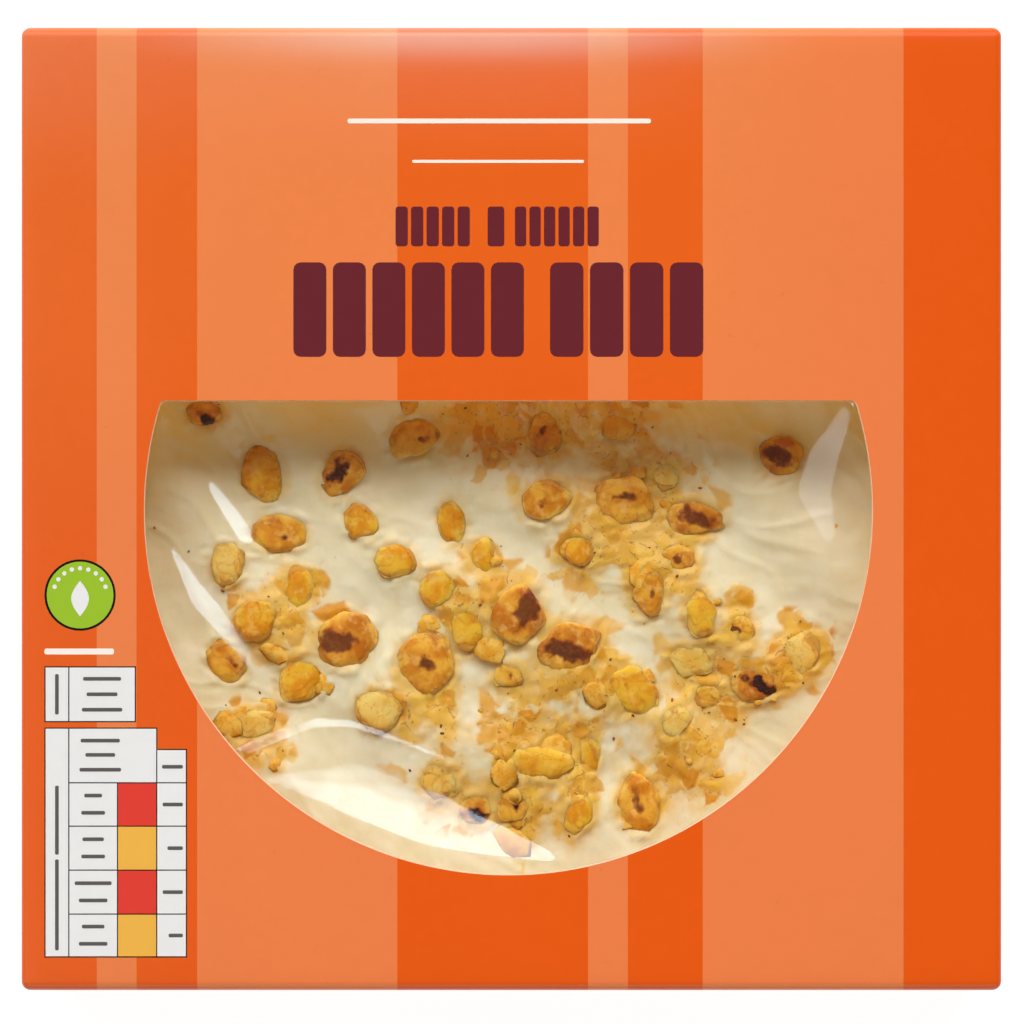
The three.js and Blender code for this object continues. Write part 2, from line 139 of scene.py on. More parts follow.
def fill_between(outer, holes, spacing):
    """Triangles between an outline and its holes, with extra points on a grid inside."""
    points, edges = [], []
    for loop in [outer, *holes]:
        numbers = list(range(len(points), len(points) + len(loop)))
        edges += zip(numbers, numbers[1:] + numbers[:1])
        points += [Vector(p) for p in loop]
    fixed = np.array([tuple(p) for p in points])
    low, high = fixed[: len(outer)].min(0), fixed[: len(outer)].max(0)
    for x in np.arange(low[0] + spacing / 2, high[0], spacing):
        for y in np.arange(low[1] + spacing / 2, high[1], spacing):
            clear = np.hypot(fixed[:, 0] - x, fixed[:, 1] - y).min() > 0.45 * spacing
            if clear and within((x, y), outer, holes):
                points.append(Vector((x, y)))
    made, _, faces, _, _, _ = delaunay_2d_cdt(points, edges, [], 1, 1e-6)
    made = [(p.x, p.y) for p in made]
    kept = [face for face in faces if within(tuple(np.mean([made[i] for i in face], 0)), outer, holes)]
    return made, kept


def new_object(name, data):
    """An object that holds the data and stands in the scene."""
    made = bpy.data.objects.new(name, data)
    bpy.context.scene.collection.objects.link(made)
    return made


class Shell:
    """Collects points and faces, in millimetres, with the number of a finish for each face."""

    def __init__(self):
        self.points, self.faces, self.finishes = [], [], []

    def add(self, points):
        start = len(self.points)
        self.points += [tuple(p) for p in points]
        return list(range(start, len(self.points)))

    def face(self, corners, number=0):
        self.faces.append(tuple(corners))
        self.finishes.append(number)

    def strip(self, first, second, number=0):
        """Faces between two rows with as many points each."""
        for corners in zip(first, first[1:], second[1:], second):
            self.face(corners, number)

    def bands(self, loops, number=0):
        """Faces between closed loops with as many points each, from each loop to the next."""
        for first, second in zip(loops, loops[1:]):
            self.strip(first + first[:1], second + second[:1], number)

    def sheet(self, x, y, z, number=0):
        """The points of a grid, with faces between them: their numbers, as a grid."""
        ids = np.array(self.add(zip(x.ravel(), y.ravel(), z.ravel()))).reshape(x.shape)
        for row, next_row in zip(ids, ids[1:]):
            self.strip(row, next_row, number)
        return ids

    def fill(self, outer, holes, spacing, height, number=0):
        """A surface between an outline and its holes, with its height worked out from the place."""
        made, faces = fill_between(outer, holes, spacing)
        ids = self.add([(x, y, height(x, y)) for x, y in made])
        for face in faces:
            self.face([ids[i] for i in face], number)

    def piece(self, name, finishes, slot, replaces=(), sharp_degrees=32):
        """The finished piece: merged, faces outwards, riding on the one body."""
        mesh = bpy.data.meshes.new(name)
        mesh.from_pydata([Vector(p) * MM for p in self.points], [], self.faces)
        mesh.polygons.foreach_set("material_index", self.finishes)
        build = bmesh.new()
        build.from_mesh(mesh)
        bmesh.ops.remove_doubles(build, verts=build.verts, dist=0.002 * MM)
        bmesh.ops.recalc_face_normals(build, faces=build.faces)
        build.to_mesh(mesh)
        build.free()
        for material in finishes:
            mesh.materials.append(material)
        mesh.shade_smooth()
        mesh.set_sharp_from_angle(angle=math.radians(sharp_degrees))
        made = new_object(name, mesh)
        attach(made, "root")
        if replaces:
            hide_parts(*replaces)
        return made


class Wire:
    """A socket in a node tree: arithmetic on wires adds Math nodes, node() adds any other node."""

    def __init__(self, tree, socket=None):
        self.tree, self.socket = tree, socket

    def node(self, kind, settings=None, inputs=None, out=0):
        made = self.tree.nodes.new(kind)
        for key, value in (settings or {}).items():
            setattr(made, key, value)
        for key, value in (inputs or {}).items():
            if isinstance(value, Wire):
                self.tree.links.new(value.socket, made.inputs[key])
            else:
                made.inputs[key].default_value = value
        return Wire(self.tree, made.outputs[out] if len(made.outputs) else None)

    def math(self, operation, *terms):
        return self.node("ShaderNodeMath", {"operation": operation}, dict(enumerate(terms)))

    def vector(self, operation, *terms):
        return self.node("ShaderNodeVectorMath", {"operation": operation}, dict(enumerate(terms)))

    def __add__(self, other):
        return self.math("ADD", self, other)

    def __sub__(self, other):
        return self.math("SUBTRACT", self, other)

    def __mul__(self, other):
        return self.math("MULTIPLY", self, other)

    def __rsub__(self, other):
        return self.math("SUBTRACT", other, self)

    def __gt__(self, other):
        return self.math("GREATER_THAN", self, other)

    __radd__, __rmul__ = __add__, __mul__

    def rise(self, low, high):
        """0 below low, 1 above high, smooth between."""
        settings = {"interpolation_type": "SMOOTHSTEP"}
        return self.node("ShaderNodeMapRange", settings, {0: self, 1: low, 2: high})

    def rise_mm(self, low, high):
        """The same for a place, with both limits in millimetres."""
        return self.rise(low * MM, high * MM)

    def mix(self, first, second):
        """A colour between two, with this wire as the share of the second."""
        return self.node("ShaderNodeMix", {"data_type": "RGBA"}, {0: self, 6: first, 7: second}, 2)

    def parts(self):
        """The x, y and z of a vector."""
        split = self.node("ShaderNodeSeparateXYZ", inputs={0: self}).socket.node
        return [Wire(self.tree, socket) for socket in split.outputs]

    def mark(self, name):
        """A number that the mesh keeps at each of its points."""
        return self.node("ShaderNodeAttribute", {"attribute_name": name}, out="Fac")

    def noise(self, size_mm, detail=2.0, stretch=(1, 1, 1), turn=0.0):
        """Noise over this place, with lumps of a size in millimetres."""
        scale = [s / (size_mm * MM) for s in stretch]
        settings = {0: self, "Rotation": (0, 0, turn), "Scale": scale}
        place = self.node("ShaderNodeMapping", {"vector_type": "POINT"}, settings)
        return self.node("ShaderNodeTexNoise", inputs={"Vector": place, "Scale": 1.0, "Detail": detail})

    def skin(self, color, roughness, relief=None, more=None):
        """A surface. Its relief is a height, how strongly it shows, and its depth in millimetres."""
        inputs = {"Base Color": color, "Roughness": roughness, **(more or {})}
        if relief:
            height, strength, depth = relief
            bump = {"Strength": strength, "Distance": depth * MM, "Height": height}
            inputs["Normal"] = self.node("ShaderNodeBump", inputs=bump)
        return self.node("ShaderNodeBsdfPrincipled", inputs=inputs)


def finish(name, build):
    """A material whose surface the function build makes from the piece's own place."""
    material = bpy.data.materials.new(name)
    material.use_nodes = True
    material.node_tree.nodes.clear()
    root = Wire(material.node_tree)
    place = root.node("ShaderNodeTexCoord", out="Object")
    root.node("ShaderNodeOutputMaterial", inputs={"Surface": build(root, place)})
    return material


def srgb(red, green, blue):
    """A colour given as on a screen, 0 to 255, as linear values."""
    parts = [c / 255 for c in (red, green, blue)]
    return tuple(c / 12.92 if c <= 0.04045 else ((c + 0.055) / 1.055) ** 2.4 for c in parts) + (1.0,)


STRIPES = ((-69.8, -63.1), (-52.9, -19.2), (12.9, 19.6), (32.2, 66.0))  # the paler stripes, in x
DEEP_ORANGE, PALE_ORANGE = srgb(229, 88, 10), srgb(235, 125, 70)
# Colours of painted light mixed into the print: a lighter upper part, sheen and shade at the left end,
# and the white of the highlight along the back fold.
PAINTED_LIGHT_TINT, SHEEN_AND_SHADE_TINT, HIGHLIGHT_WHITE = srgb(250, 184, 80), srgb(156, 168, 128), srgb(243, 234, 224)
HIGHLIGHT_MOST = 0.29  # how strongly the painted highlight along the back fold whitens the print, at most


def gloss_print(root, place, color):
    """Ink on coated board under a gloss varnish, faintly mottled."""
    mottle, broad = place.noise(2.2, 3.0), place.noise(30.0, 1.0)
    shade = 0.95 + 0.05 * mottle + 0.04 * broad
    color = root.node("ShaderNodeVectorMath", {"operation": "SCALE"}, {0: color, "Scale": shade})
    varnish = {"Specular IOR Level": 0.3, "Coat Weight": 0.25, "Coat Roughness": 0.28}
    return root.skin(color, 0.26 + 0.06 * mottle, (mottle, 0.08, 0.03), varnish)


def printed_surface(root, place):
    """The stripes, with painted light: a highlight along the middle of the back fold, a lighter upper
    part, and sheen and shade at the left end.
    """
    x, y, _ = place.parts()
    pale = 0.0
    for left, right in STRIPES:
        pale = pale + (x > left * MM) - (x > right * MM)
    color = pale.mix(DEEP_ORANGE, PALE_ORANGE)
    # Painted highlight: the print is whitened along the middle of the back fold, less on the fold itself.
    sideways = root.math("ABSOLUTE", x + 8 * MM).rise_mm(5, 65)
    fold = y.rise_mm(HALF_Y - 9.5, HALF_Y - 1.2)
    painted_highlight = (fold * fold * HIGHLIGHT_MOST + y.rise_mm(HALF_Y - 26, HALF_Y) * 0.06) * (1.0 - sideways)
    painted_highlight = painted_highlight * (1.0 - 0.6 * y.rise_mm(HALF_Y - 1.3, HALF_Y - 0.7))
    # Painted light: the upper part of the print, left of the right-hand stripes, is a little lighter and
    # yellower.
    painted_light = y.rise_mm(-20, 40) * (1.0 - x.rise_mm(30, 70))
    color = (painted_light * 0.06).mix(color, PAINTED_LIGHT_TINT)
    # Painted sheen and shade: the left end is a little greyer and darker, and its upper corner a little
    # whiter.
    sheen_and_shade = 1.0 - x.rise_mm(-HALF_X, -30)
    color = (sheen_and_shade * 0.05).mix(color, SHEEN_AND_SHADE_TINT)
    painted_highlight = painted_highlight + y.rise_mm(50, 80) * sheen_and_shade * 0.05
    return gloss_print(root, place, painted_highlight.mix(color, HIGHLIGHT_WHITE))


THROUGH_LIGHT = (1.0, 0.53, 0.06, 1)  # painted light: colour of the glow of the board's back, standing in for daylight through the printed board


def board_finish(name, dark, light, glow=0.0):
    """Bare fibres of the board, at its back and its cut edges; a glow, if given, is painted light."""

    def surface(root, place):
        grain = place.noise(0.5, 4.0)
        lit = {"Emission Color": THROUGH_LIGHT, "Emission Strength": glow}
        return root.skin(grain.mix(dark, light), 0.85, (grain, 0.3, 0.05), lit)

    return finish(name, surface)


PRINTED = finish("printed_board", printed_surface)
CUT_EDGE = board_finish("cut_edge", srgb(232, 172, 136), srgb(246, 204, 174))
# The board's back glows a little: painted light that stands in for daylight through the board and warms
# the shade under the panel.
BACK = board_finish("board_back", srgb(226, 196, 156), srgb(240, 216, 180), 0.44)
WALL_BACK = board_finish("board_wall_back", srgb(150, 122, 90), srgb(172, 142, 106))
ON_PRINT, ON_CUT, ON_BACK, ON_WALL_BACK = range(4)  # their numbers on the carton's faces

carton = Shell()
outside = [[(x, y, panel_height(x, y)) for x, y, _ in outline(d, d)] for d in BORDER_INSETS]
fold_from = [panel_height(x, y) for x, y, _ in outline(END_FOLD, SIDE_FOLD)]
for k in range(FOLD_STEPS + 1):
    turn = math.pi / 2 * k / FOLD_STEPS
    inset, drop = 1 - math.sin(turn), 1 - math.cos(turn)
    ring = zip(outline(END_FOLD * inset, SIDE_FOLD * inset), fold_from)
    outside.append([(x, y, z - (END_FOLD + (SIDE_FOLD - END_FOLD) * s) * drop) for (x, y, s), z in ring])
outside += [level_ring(FLAP_STEP * lean, 0, z) for z, lean in END_WALL]
for k in range(FOOT_STEPS + 1):
    turn = math.pi / 2 * k / FOOT_STEPS
    inset, rise = END_FOLD * (1 - math.cos(turn)), END_FOLD * (1 - math.sin(turn))
    outside.append(level_ring(FLAP_STEP + inset, inset, rise))
outside = [carton.add(ring) for ring in outside]
carton.bands(outside, ON_PRINT)
carton.face(outside[-1], ON_PRINT)

inner_top = HEIGHT - BOARD - PANEL_SAG
END_WALL_GAP = FLAP_STEP + 0.1  # how much further in the end walls' backs lie
inner_profile = (
    (BORDER_INSETS[0], inner_top),
    (BOARD + 1, inner_top),
    (BOARD, inner_top - 1),
    (BOARD, BOARD + 1),
    (BOARD + 1, BOARD),
)
within_walls = [carton.add(level_ring(inset + END_WALL_GAP, inset, z)) for inset, z in inner_profile]
carton.bands(within_walls, ON_WALL_BACK)
carton.face(within_walls[-1], ON_WALL_BACK)

bevel_outer, bevel_inner = window_outline(WINDOW_BEVEL), window_outline(0)
panel_edge = [carton.points[i][:2] for i in outside[0]]
carton.fill(panel_edge, [bevel_outer], 5.0, panel_height, ON_PRINT)
under_edge = [carton.points[i][:2] for i in within_walls[0]]
carton.fill(under_edge, [bevel_inner], 9.0, lambda x, y: inner_top, ON_BACK)
cut_top = carton.add([(x, y, panel_height(x, y)) for x, y in bevel_outer])
cut_middle = carton.add([(x, y, panel_height(x, y) - BEVEL_DEPTH) for x, y in bevel_inner])
cut_bottom = carton.add([(x, y, inner_top) for x, y in bevel_inner])
carton.bands([cut_top, cut_middle, cut_bottom], ON_CUT)
carton.piece("carton_board", [PRINTED, CUT_EDGE, BACK, WALL_BACK], "printed_board", ["carton"], 20)


# ---- Lower end flaps --------------------------------------------------------------------------
# At each end the lower flap comes up from the base panel and is glued over the upper one. Its free
# edge is a raw cut, and its sides taper so that it clears the upright corners.

FLAP_TOP = 35.8  # free edge of the flap
FLAP_THICK = 0.46
FLAP_SIDE_GAP, FLAP_TAPER = 1.1, 1.6  # gap to the corners at the fold, and how far each side tapers
FLAP_ROOT = 6.0  # how far the flap runs on under the base
FLAP_COLUMNS, FLAP_FOLD_STEPS = 24, 5
CUT_ROUNDING = (0.1, 0.12)  # how far the free edge's corner is rounded, across and down
FOLD_INSIDE = 0.25  # how much further in the flap's back lies at the fold


def end_flap(name, side):
    flap = Shell()
    profile = [(HALF_X - FLAP_ROOT, 0.0), (HALF_X - END_FOLD, 0.0)]
    for k in range(1, FLAP_FOLD_STEPS + 1):
        turn = math.pi / 2 * k / FLAP_FOLD_STEPS
        across = HALF_X - END_FOLD * (1 - math.sin(turn))
        profile.append((across, END_FOLD * (1 - math.cos(turn))))
    profile += [(HALF_X, 12.0), (HALF_X, 24.0), (HALF_X, FLAP_TOP - CUT_ROUNDING[1])]
    profile.append((HALF_X - CUT_ROUNDING[0], FLAP_TOP))
    back = []
    for x, z in profile:
        x, z = min(x, HALF_X - FLAP_THICK), max(z, FLAP_THICK * 0.2)
        back.append((x - FOLD_INSIDE if z < END_FOLD else x, z))
    rows = []
    for x, z in profile + back:
        half = HALF_Y - FLAP_SIDE_GAP - FLAP_TAPER * (z / FLAP_TOP) ** 3
        ys = [half * (2 * k / FLAP_COLUMNS - 1) for k in range(FLAP_COLUMNS + 1)]
        rows.append(flap.add([(side * x, y, z) for y in ys]))
    front, behind = rows[: len(profile)], rows[len(profile) :]
    for first, second, third, fourth in zip(front, front[1:], behind[1:], behind):
        flap.strip(first, second, ON_PRINT)
        flap.strip(fourth, third, ON_CUT)
        for end in (0, -1):
            flap.face((first[end], second[end], third[end], fourth[end]), ON_CUT)
    flap.strip(front[0], behind[0], ON_CUT)
    flap.strip(front[-1], behind[-1], ON_CUT)
    flap.piece(name, [PRINTED, CUT_EDGE], "printed_board")


end_flap("end_flap_right", 1)
end_flap("end_flap_left", -1)


# ---- Print on the front panel -----------------------------------------------------------------
# Fields of ink over the stripes, each a hair's breadth thick: white rules, a block title in
# maroon, a green roundel, and a white table with dark rules and with bars in place of text.

INK_LIFT, INK_ROOTS = 0.018, 0.1  # how much higher each layer stands, and how deep all of them reach
INK_SPACING = 4.0  # spacing of the points inside a field of ink
INKS = {
    "white_ink": srgb(247, 238, 230),
    "maroon_ink": srgb(104, 33, 42),
    "rule_ink": srgb(14, 10, 10),
    "cell_ink": srgb(232, 232, 234),
    "red_ink": srgb(222, 62, 50),
    "amber_ink": srgb(236, 178, 74),
    "green_ink": srgb(152, 190, 44),
    "grey_ink": srgb(92, 88, 86),
}


def ink_finish(name, color):
    return finish(name, lambda root, place: gloss_print(root, place, color[:3]))


ink_names = list(INKS)
ink_finishes = [ink_finish(name, color) for name, color in INKS.items()]


def stamp(target, edge, ink, layer=1):
    """A field of ink with a closed edge, laid on the top panel."""
    made, faces = fill_between(edge, [], INK_SPACING)
    number = ink_names.index(ink)
    top = target.add([(x, y, panel_height(x, y) + layer * INK_LIFT) for x, y in made])
    under = target.add([(x, y, panel_height(x, y) - INK_ROOTS) for x, y in made])
    sides = {}
    for face in faces:
        target.face([top[i] for i in face], number)
        target.face([under[i] for i in reversed(face)], number)
        for a, b in zip(face, face[1:] + face[:1]):
            sides[(a, b)] = True
    for a, b in sides:
        if (b, a) not in sides:
            target.face((top[a], top[b], under[b], under[a]), number)


def block(x0, x1, y0, y1, corner=0.0, steps=3):
    """The outline of a rectangle with round corners."""
    if corner <= 0:
        return [(x0, y0), (x1, y0), (x1, y1), (x0, y1)]
    points = []
    for quarter, (sx, sy) in enumerate(QUARTERS):
        middle_x = x1 - corner if sx > 0 else x0 + corner
        middle_y = y1 - corner if sy > 0 else y0 + corner
        for k in range(steps + 1):
            angle = math.pi / 2 * (quarter + k / steps)
            points.append((middle_x + corner * math.cos(angle), middle_y + corner * math.sin(angle)))
    return points


def disc(x, y, radius, steps=48):
    return arc(x, y, radius, 0, 2 * math.pi, steps, range(steps))


# The title's rules, and its rows of upright blocks, which are as wide as fit between two ends.
TITLE_RULES = ((-27.6, 23.5, 64.9, 65.7, 0.35), (-16.7, 12.2, 58.25, 58.75, 0.2))
SMALL_WORD = {"low": 44.2, "high": 50.9, "gap": 0.55, "corner": 0.5}
LARGE_WORD = {"low": 25.6, "high": 41.5, "gap": 1.1, "corner": 1.2}
TITLE_ROWS = (
    (-19.5, -7.0, 5, SMALL_WORD),
    (-4.0, -1.2, 1, SMALL_WORD),
    (0.6, 14.7, 6, SMALL_WORD),
    (-36.7, 2.1, 6, LARGE_WORD),
    (6.5, 32.3, 4, LARGE_WORD),
)

title = Shell()
for rule in TITLE_RULES:
    stamp(title, block(*rule), "white_ink")
for left, right, count, word in TITLE_ROWS:
    width = (right - left - word["gap"] * (count - 1)) / count
    for k in range(count):
        start = left + k * (width + word["gap"])
        stamp(title, block(start, start + width, word["low"], word["high"], word["corner"]), "maroon_ink")
title.piece("title_print", ink_finishes, "printed_board")

ROUNDEL_X, ROUNDEL_Y, ROUNDEL_RADIUS, ROUNDEL_RIM = -72.6, -14.5, 6.0, 0.38
LEAF = {"half": 1.5, "foot": 3.6, "length": 6.0, "steps": 12}
DOTS = {"count": 9, "from": 18, "step": 18, "ring": 4.5, "radius": 0.38}  # over the leaf, in degrees

roundel = Shell()
stamp(roundel, disc(ROUNDEL_X, ROUNDEL_Y, ROUNDEL_RADIUS), "rule_ink")
stamp(roundel, disc(ROUNDEL_X, ROUNDEL_Y, ROUNDEL_RADIUS - ROUNDEL_RIM), "green_ink", 2)
steps = LEAF["steps"]
up_right = [(LEAF["half"], k / steps) for k in range(steps + 1)]
down_left = [(-LEAF["half"], 1 - k / steps) for k in range(1, steps)]
leaf = []
for half, share in up_right + down_left:
    x = ROUNDEL_X + half * math.sin(math.pi * share)
    leaf.append((x, ROUNDEL_Y - LEAF["foot"] + LEAF["length"] * share))
stamp(roundel, leaf, "cell_ink", 3)
for k in range(DOTS["count"]):
    turn = math.radians(DOTS["from"] + DOTS["step"] * k)
    x, y = ROUNDEL_X + DOTS["ring"] * math.cos(turn), ROUNDEL_Y + DOTS["ring"] * math.sin(turn)
    stamp(roundel, disc(x, y, DOTS["radius"], 12), "cell_ink", 3)
roundel.piece("roundel_print", ink_finishes, "printed_board")

RULE = 0.2  # width of the table's rules
BAR, BAR_CORNER = 0.62, 0.2  # height and rounding of a bar that stands for a line of small text
LEFT, LABEL, VALUE, COLOR, SHARE = -78.5, -74.5, -66.3, -59.7, -54.7  # the table's upright rules
ROWS = (-46.1, -53.4, -60.8, -68.2, -75.4)  # its level rules
table = Shell()


def cell(x0, x1, y0, y1, ink="cell_ink"):
    """One cell of the table, with its dark rules round it."""
    half = RULE / 2
    stamp(table, block(x0 - half, x1 + half, y0 - half, y1 + half), "rule_ink")
    stamp(table, block(x0 + half, x1 - half, y0 + half, y1 - half), ink, 2)


def bar(x0, x1, y0, y1):
    stamp(table, block(x0, x1, y0, y1, BAR_CORNER, 2), "grey_ink", 3)


def text_line(x0, x1, y):
    bar(x0, x1, y - BAR / 2, y + BAR / 2)


def upright_line(x, y0, y1):
    bar(x - BAR / 2, x + BAR / 2, y0, y1)


def centred_lines(x, lines):
    """Lines of small text, each with its height and half its length."""
    for y, half in lines:
        text_line(x - half, x + half, y)


stamp(table, block(-78.6, -66.9, -24.5, -23.5, 0.3), "white_ink")
cell(LEFT, LABEL, -35.8, -26.6)
cell(LABEL, -63.3, -35.8, -26.6)
upright_line(-76.5, -34.6, -27.8)
centred_lines(-68.9, ((-28.6, 3.2), (-31.2, 2.6), (-33.8, 3.4)))
cell(LEFT, LABEL, -75.4, -36.9)
upright_line(-76.5, -74.3, -59.0)
upright_line(-76.5, -58.2, -46.6)
cell(LABEL, COLOR, -46.1, -36.9)
centred_lines(-69.2, ((-39.0, 3.3), (-41.4, 2.5), (-43.9, 3.5)))
cell(COLOR, SHARE, -46.1, -40.5)
text_line(-58.8, -55.3, -43.4)
FIRST_LINES, SECOND_LINES, SHARE_LINES = (1.5, 1.8, 3.1, 1.9), (2.0, 2.0, 2.4, 2.4), (3.4, 2.6, 3.4, 2.4)
for k, (top, bottom) in enumerate(zip(ROWS, ROWS[1:])):
    middle = (top + bottom) / 2
    cell(LABEL, VALUE, bottom, top)
    cell(VALUE, COLOR, bottom, top, "red_ink" if k % 2 == 0 else "amber_ink")
    cell(COLOR, SHARE, bottom, top)
    centred_lines(-70.4, ((middle + 1.5, FIRST_LINES[k]), (middle - 1.4, SECOND_LINES[k])))
    text_line(-55.3 - SHARE_LINES[k], -55.3, middle)
table.piece("table_print", ink_finishes, "printed_board")


# ---- Window film ------------------------------------------------------------------------------
# A thin clear sheet glued flat behind the board all round the window. It was pulled taut by the
# gluing, which left a few creased folds that catch the light.

FILM_GAP, FILM_THICK, FILM_OVERLAP = 0.14, 0.05, 6.6
FILM_CELL = 0.52  # spacing of the film's points
film_top = inner_top - FILM_GAP
CAMERA_HEIGHT = 1400.0  # above the top panel
aim = Vector((0.1, -0.52, HEIGHT))
eye = aim + Vector((0, 0, CAMERA_HEIGHT))
# The small lamps that the folds mirror: degrees round from +X, degrees off the upright, radiance.
SPARKS = {"front": (218, 25, 7.8), "back": (78, 25, 7.4), "left": (176, 25, 2.6)}
# Each fold: the two ends of its slope, its half width at each, the lamp that it mirrors, and how
# much of the slope it would need for that it has.
FOLDS = (
    ((-49.8, 3.6), (-44.8, -4.4), 1.1, 1.3, "front", 1.0),
    ((-57.0, -6.8), (-52.4, -15.4), 0.4, 1.7, "front", 1.0),
    ((-52.4, -15.4), (-48.8, -19.6), 1.7, 1.6, "front", 1.0),
    ((-48.8, -19.6), (-43.0, -26.6), 1.6, 1.3, "front", 0.79),
    ((-43.0, -26.6), (-37.4, -33.8), 1.2, 0.5, "front", 0.74),
    ((-46.2, -41.2), (-38.4, -37.8), 0.8, 0.9, "back", 1.06),
    ((-38.4, -37.8), (-32.7, -35.9), 0.9, 0.7, "back", 1.0),
    ((-32.7, -35.9), (-27.1, -36.1), 0.7, 0.5, "back", 1.0),
    ((-27.1, -36.1), (-20.4, -38.4), 0.5, 0.4, "back", 1.0),
    ((-20.4, -38.4), (-11.4, -42.0), 0.4, 0.4, "back", 1.0),
    ((-40.0, -45.6), (-27.0, -47.0), 1.0, 4.2, "back", 0.8),
    ((-27.0, -47.0), (-13.0, -52.5), 4.4, 4.6, "back", 1.0),
    ((-13.0, -52.5), (6.0, -58.6), 4.6, 0.8, "back", 1.0),
    ((56.2, 16.0), (52.6, 9.0), 1.2, 2.4, "left", 1.0),
    ((52.6, 9.0), (51.0, 3.0), 2.4, 2.8, "left", 1.0),
    ((51.0, 3.0), (53.6, -4.0), 2.8, 1.2, "left", 1.0),
    ((-58.6, 13.6), (-53.6, 9.0), 1.6, 1.2, "left", 1.0),
)
FOLD_HOLD, FOLD_MARGIN = 14.0, (-0.2, 0.5)  # a fold's stiffness beside loose film, and where it ends
STREAKING, STREAK_WIDTH, STREAK_LENGTH = 0.18, 1.6, 9  # how unevenly a fold slopes across its width
RELAXING, OVERSHOOT = 700, 1.9  # steps in which the loose film finds its height, and their stride
FILM_SAG, SAG_MARGIN = 0.16, 9.0  # how far the film hangs, from this far inside its glued edge
FREE_RISE, SOFT_RISE = 0.25, 0.35  # how far a fold stands up freely, and how much further at most
reach = WINDOW["radius"] + FILM_OVERLAP
film_columns = WINDOW["x"] + np.arange(-reach, reach + 0.1, FILM_CELL)
film_rows = WINDOW["y"] + np.arange(-reach, WINDOW["straight"] + FILM_OVERLAP + 0.1, FILM_CELL)
film_x, film_y = np.meshgrid(film_columns, film_rows)


def towards(turn, off):
    """A direction, by the degrees round from +X and off the upright."""
    turn, off = math.radians(turn), math.radians(off)
    return Vector((math.sin(off) * math.cos(turn), math.sin(off) * math.sin(turn), math.cos(off)))


def ease(low, high, value):
    """0 below low, 1 above high, smooth between."""
    t = np.clip((value - low) / (high - low), 0, 1)
    return t * t * (3 - 2 * t)


stiff, slope_x, slope_y = np.ones_like(film_x), np.zeros_like(film_x), np.zeros_like(film_x)
for start, end, width_start, width_end, spark, share in FOLDS:
    run = np.array(end) - np.array(start)
    run_length = math.hypot(*run)
    from_x, from_y = film_x - start[0], film_y - start[1]
    held = np.clip((from_x * run[0] + from_y * run[1]) / (run @ run), 0, 1)
    away = np.hypot(from_x - held * run[0], from_y - held * run[1])
    half = width_start + (width_end - width_start) * held
    grip = FOLD_HOLD * (1 - ease(*FOLD_MARGIN, away - half))
    offset = (from_x * run[1] - from_y * run[0]) / run_length
    places = zip(offset.flat, (held * run_length).flat)
    streak = [noise.noise(Vector((a / STREAK_WIDTH, b / STREAK_LENGTH, 3.3))) for a, b in places]
    share = share + STREAKING * np.clip(half / 2, 0, 1) * np.array(streak).reshape(film_x.shape)
    middle = Vector((*(np.array(start) + run / 2), film_top))
    facing = ((eye - middle).normalized() + towards(*SPARKS[spark][:2])).normalized()
    stiff += grip
    slope_x += grip * share * -facing.x / facing.z
    slope_y += grip * share * -facing.y / facing.z
slope_x, slope_y = slope_x / (stiff - 1 + 1e-6), slope_y / (stiff - 1 + 1e-6)
slack = np.array([[noise.noise(Vector((x / 21, y / 17, 1.7))) for x in film_columns] for y in film_rows])
inside_arc = WINDOW["radius"] - np.hypot(film_x - WINDOW["x"], film_y - WINDOW["y"])
inside_glue = np.minimum(inside_arc, WINDOW["y"] + WINDOW["straight"] - film_y)
loose = inside_glue > -0.6
odd = np.indices(film_x.shape).sum(0) % 2 == 1


def between(grid, axis):
    """The means of neighbouring values along an axis."""
    return (grid[1:] + grid[:-1]) / 2 if axis == 0 else (grid[:, 1:] + grid[:, :-1]) / 2


# The loose film settles between its folds: each point moves to where its neighbours pull it.
hold_x, hold_y = between(stiff, 1), between(stiff, 0)
step_x, step_y = between(slope_x, 1) * FILM_CELL, between(slope_y, 0) * FILM_CELL
film_rise, weight = np.zeros_like(film_x), np.zeros_like(film_x)
weight[:, :-1] += hold_x
weight[:, 1:] += hold_x
weight[:-1] += hold_y
weight[1:] += hold_y
for _ in range(RELAXING):
    for cells in (~odd & loose, odd & loose):
        pull = np.zeros_like(film_x)
        pull[:, :-1] += hold_x * (film_rise[:, 1:] - step_x)
        pull[:, 1:] += hold_x * (film_rise[:, :-1] + step_x)
        pull[:-1] += hold_y * (film_rise[1:] - step_y)
        pull[1:] += hold_y * (film_rise[:-1] + step_y)
        film_rise[cells] += OVERSHOOT * (pull / weight - film_rise)[cells]
film_rise += -FILM_SAG * (1 + slack) * ease(0.0, SAG_MARGIN, inside_glue)
capped = FREE_RISE + SOFT_RISE * np.tanh((film_rise - FREE_RISE) / SOFT_RISE)
film_rise = np.where(film_rise > FREE_RISE, capped, film_rise)


def rim(grid):
    """The values round the edge of a grid, in order."""
    return [*grid[0], *grid[1:, -1], *grid[-1, -2::-1], *grid[-2:0:-1, 0]]


film = Shell()
upper = film.sheet(film_x, film_y, film_top + film_rise)
lower = film.sheet(film_x, film_y, film_top + film_rise - FILM_THICK, 1)
film.bands([rim(upper), rim(lower)], 1)


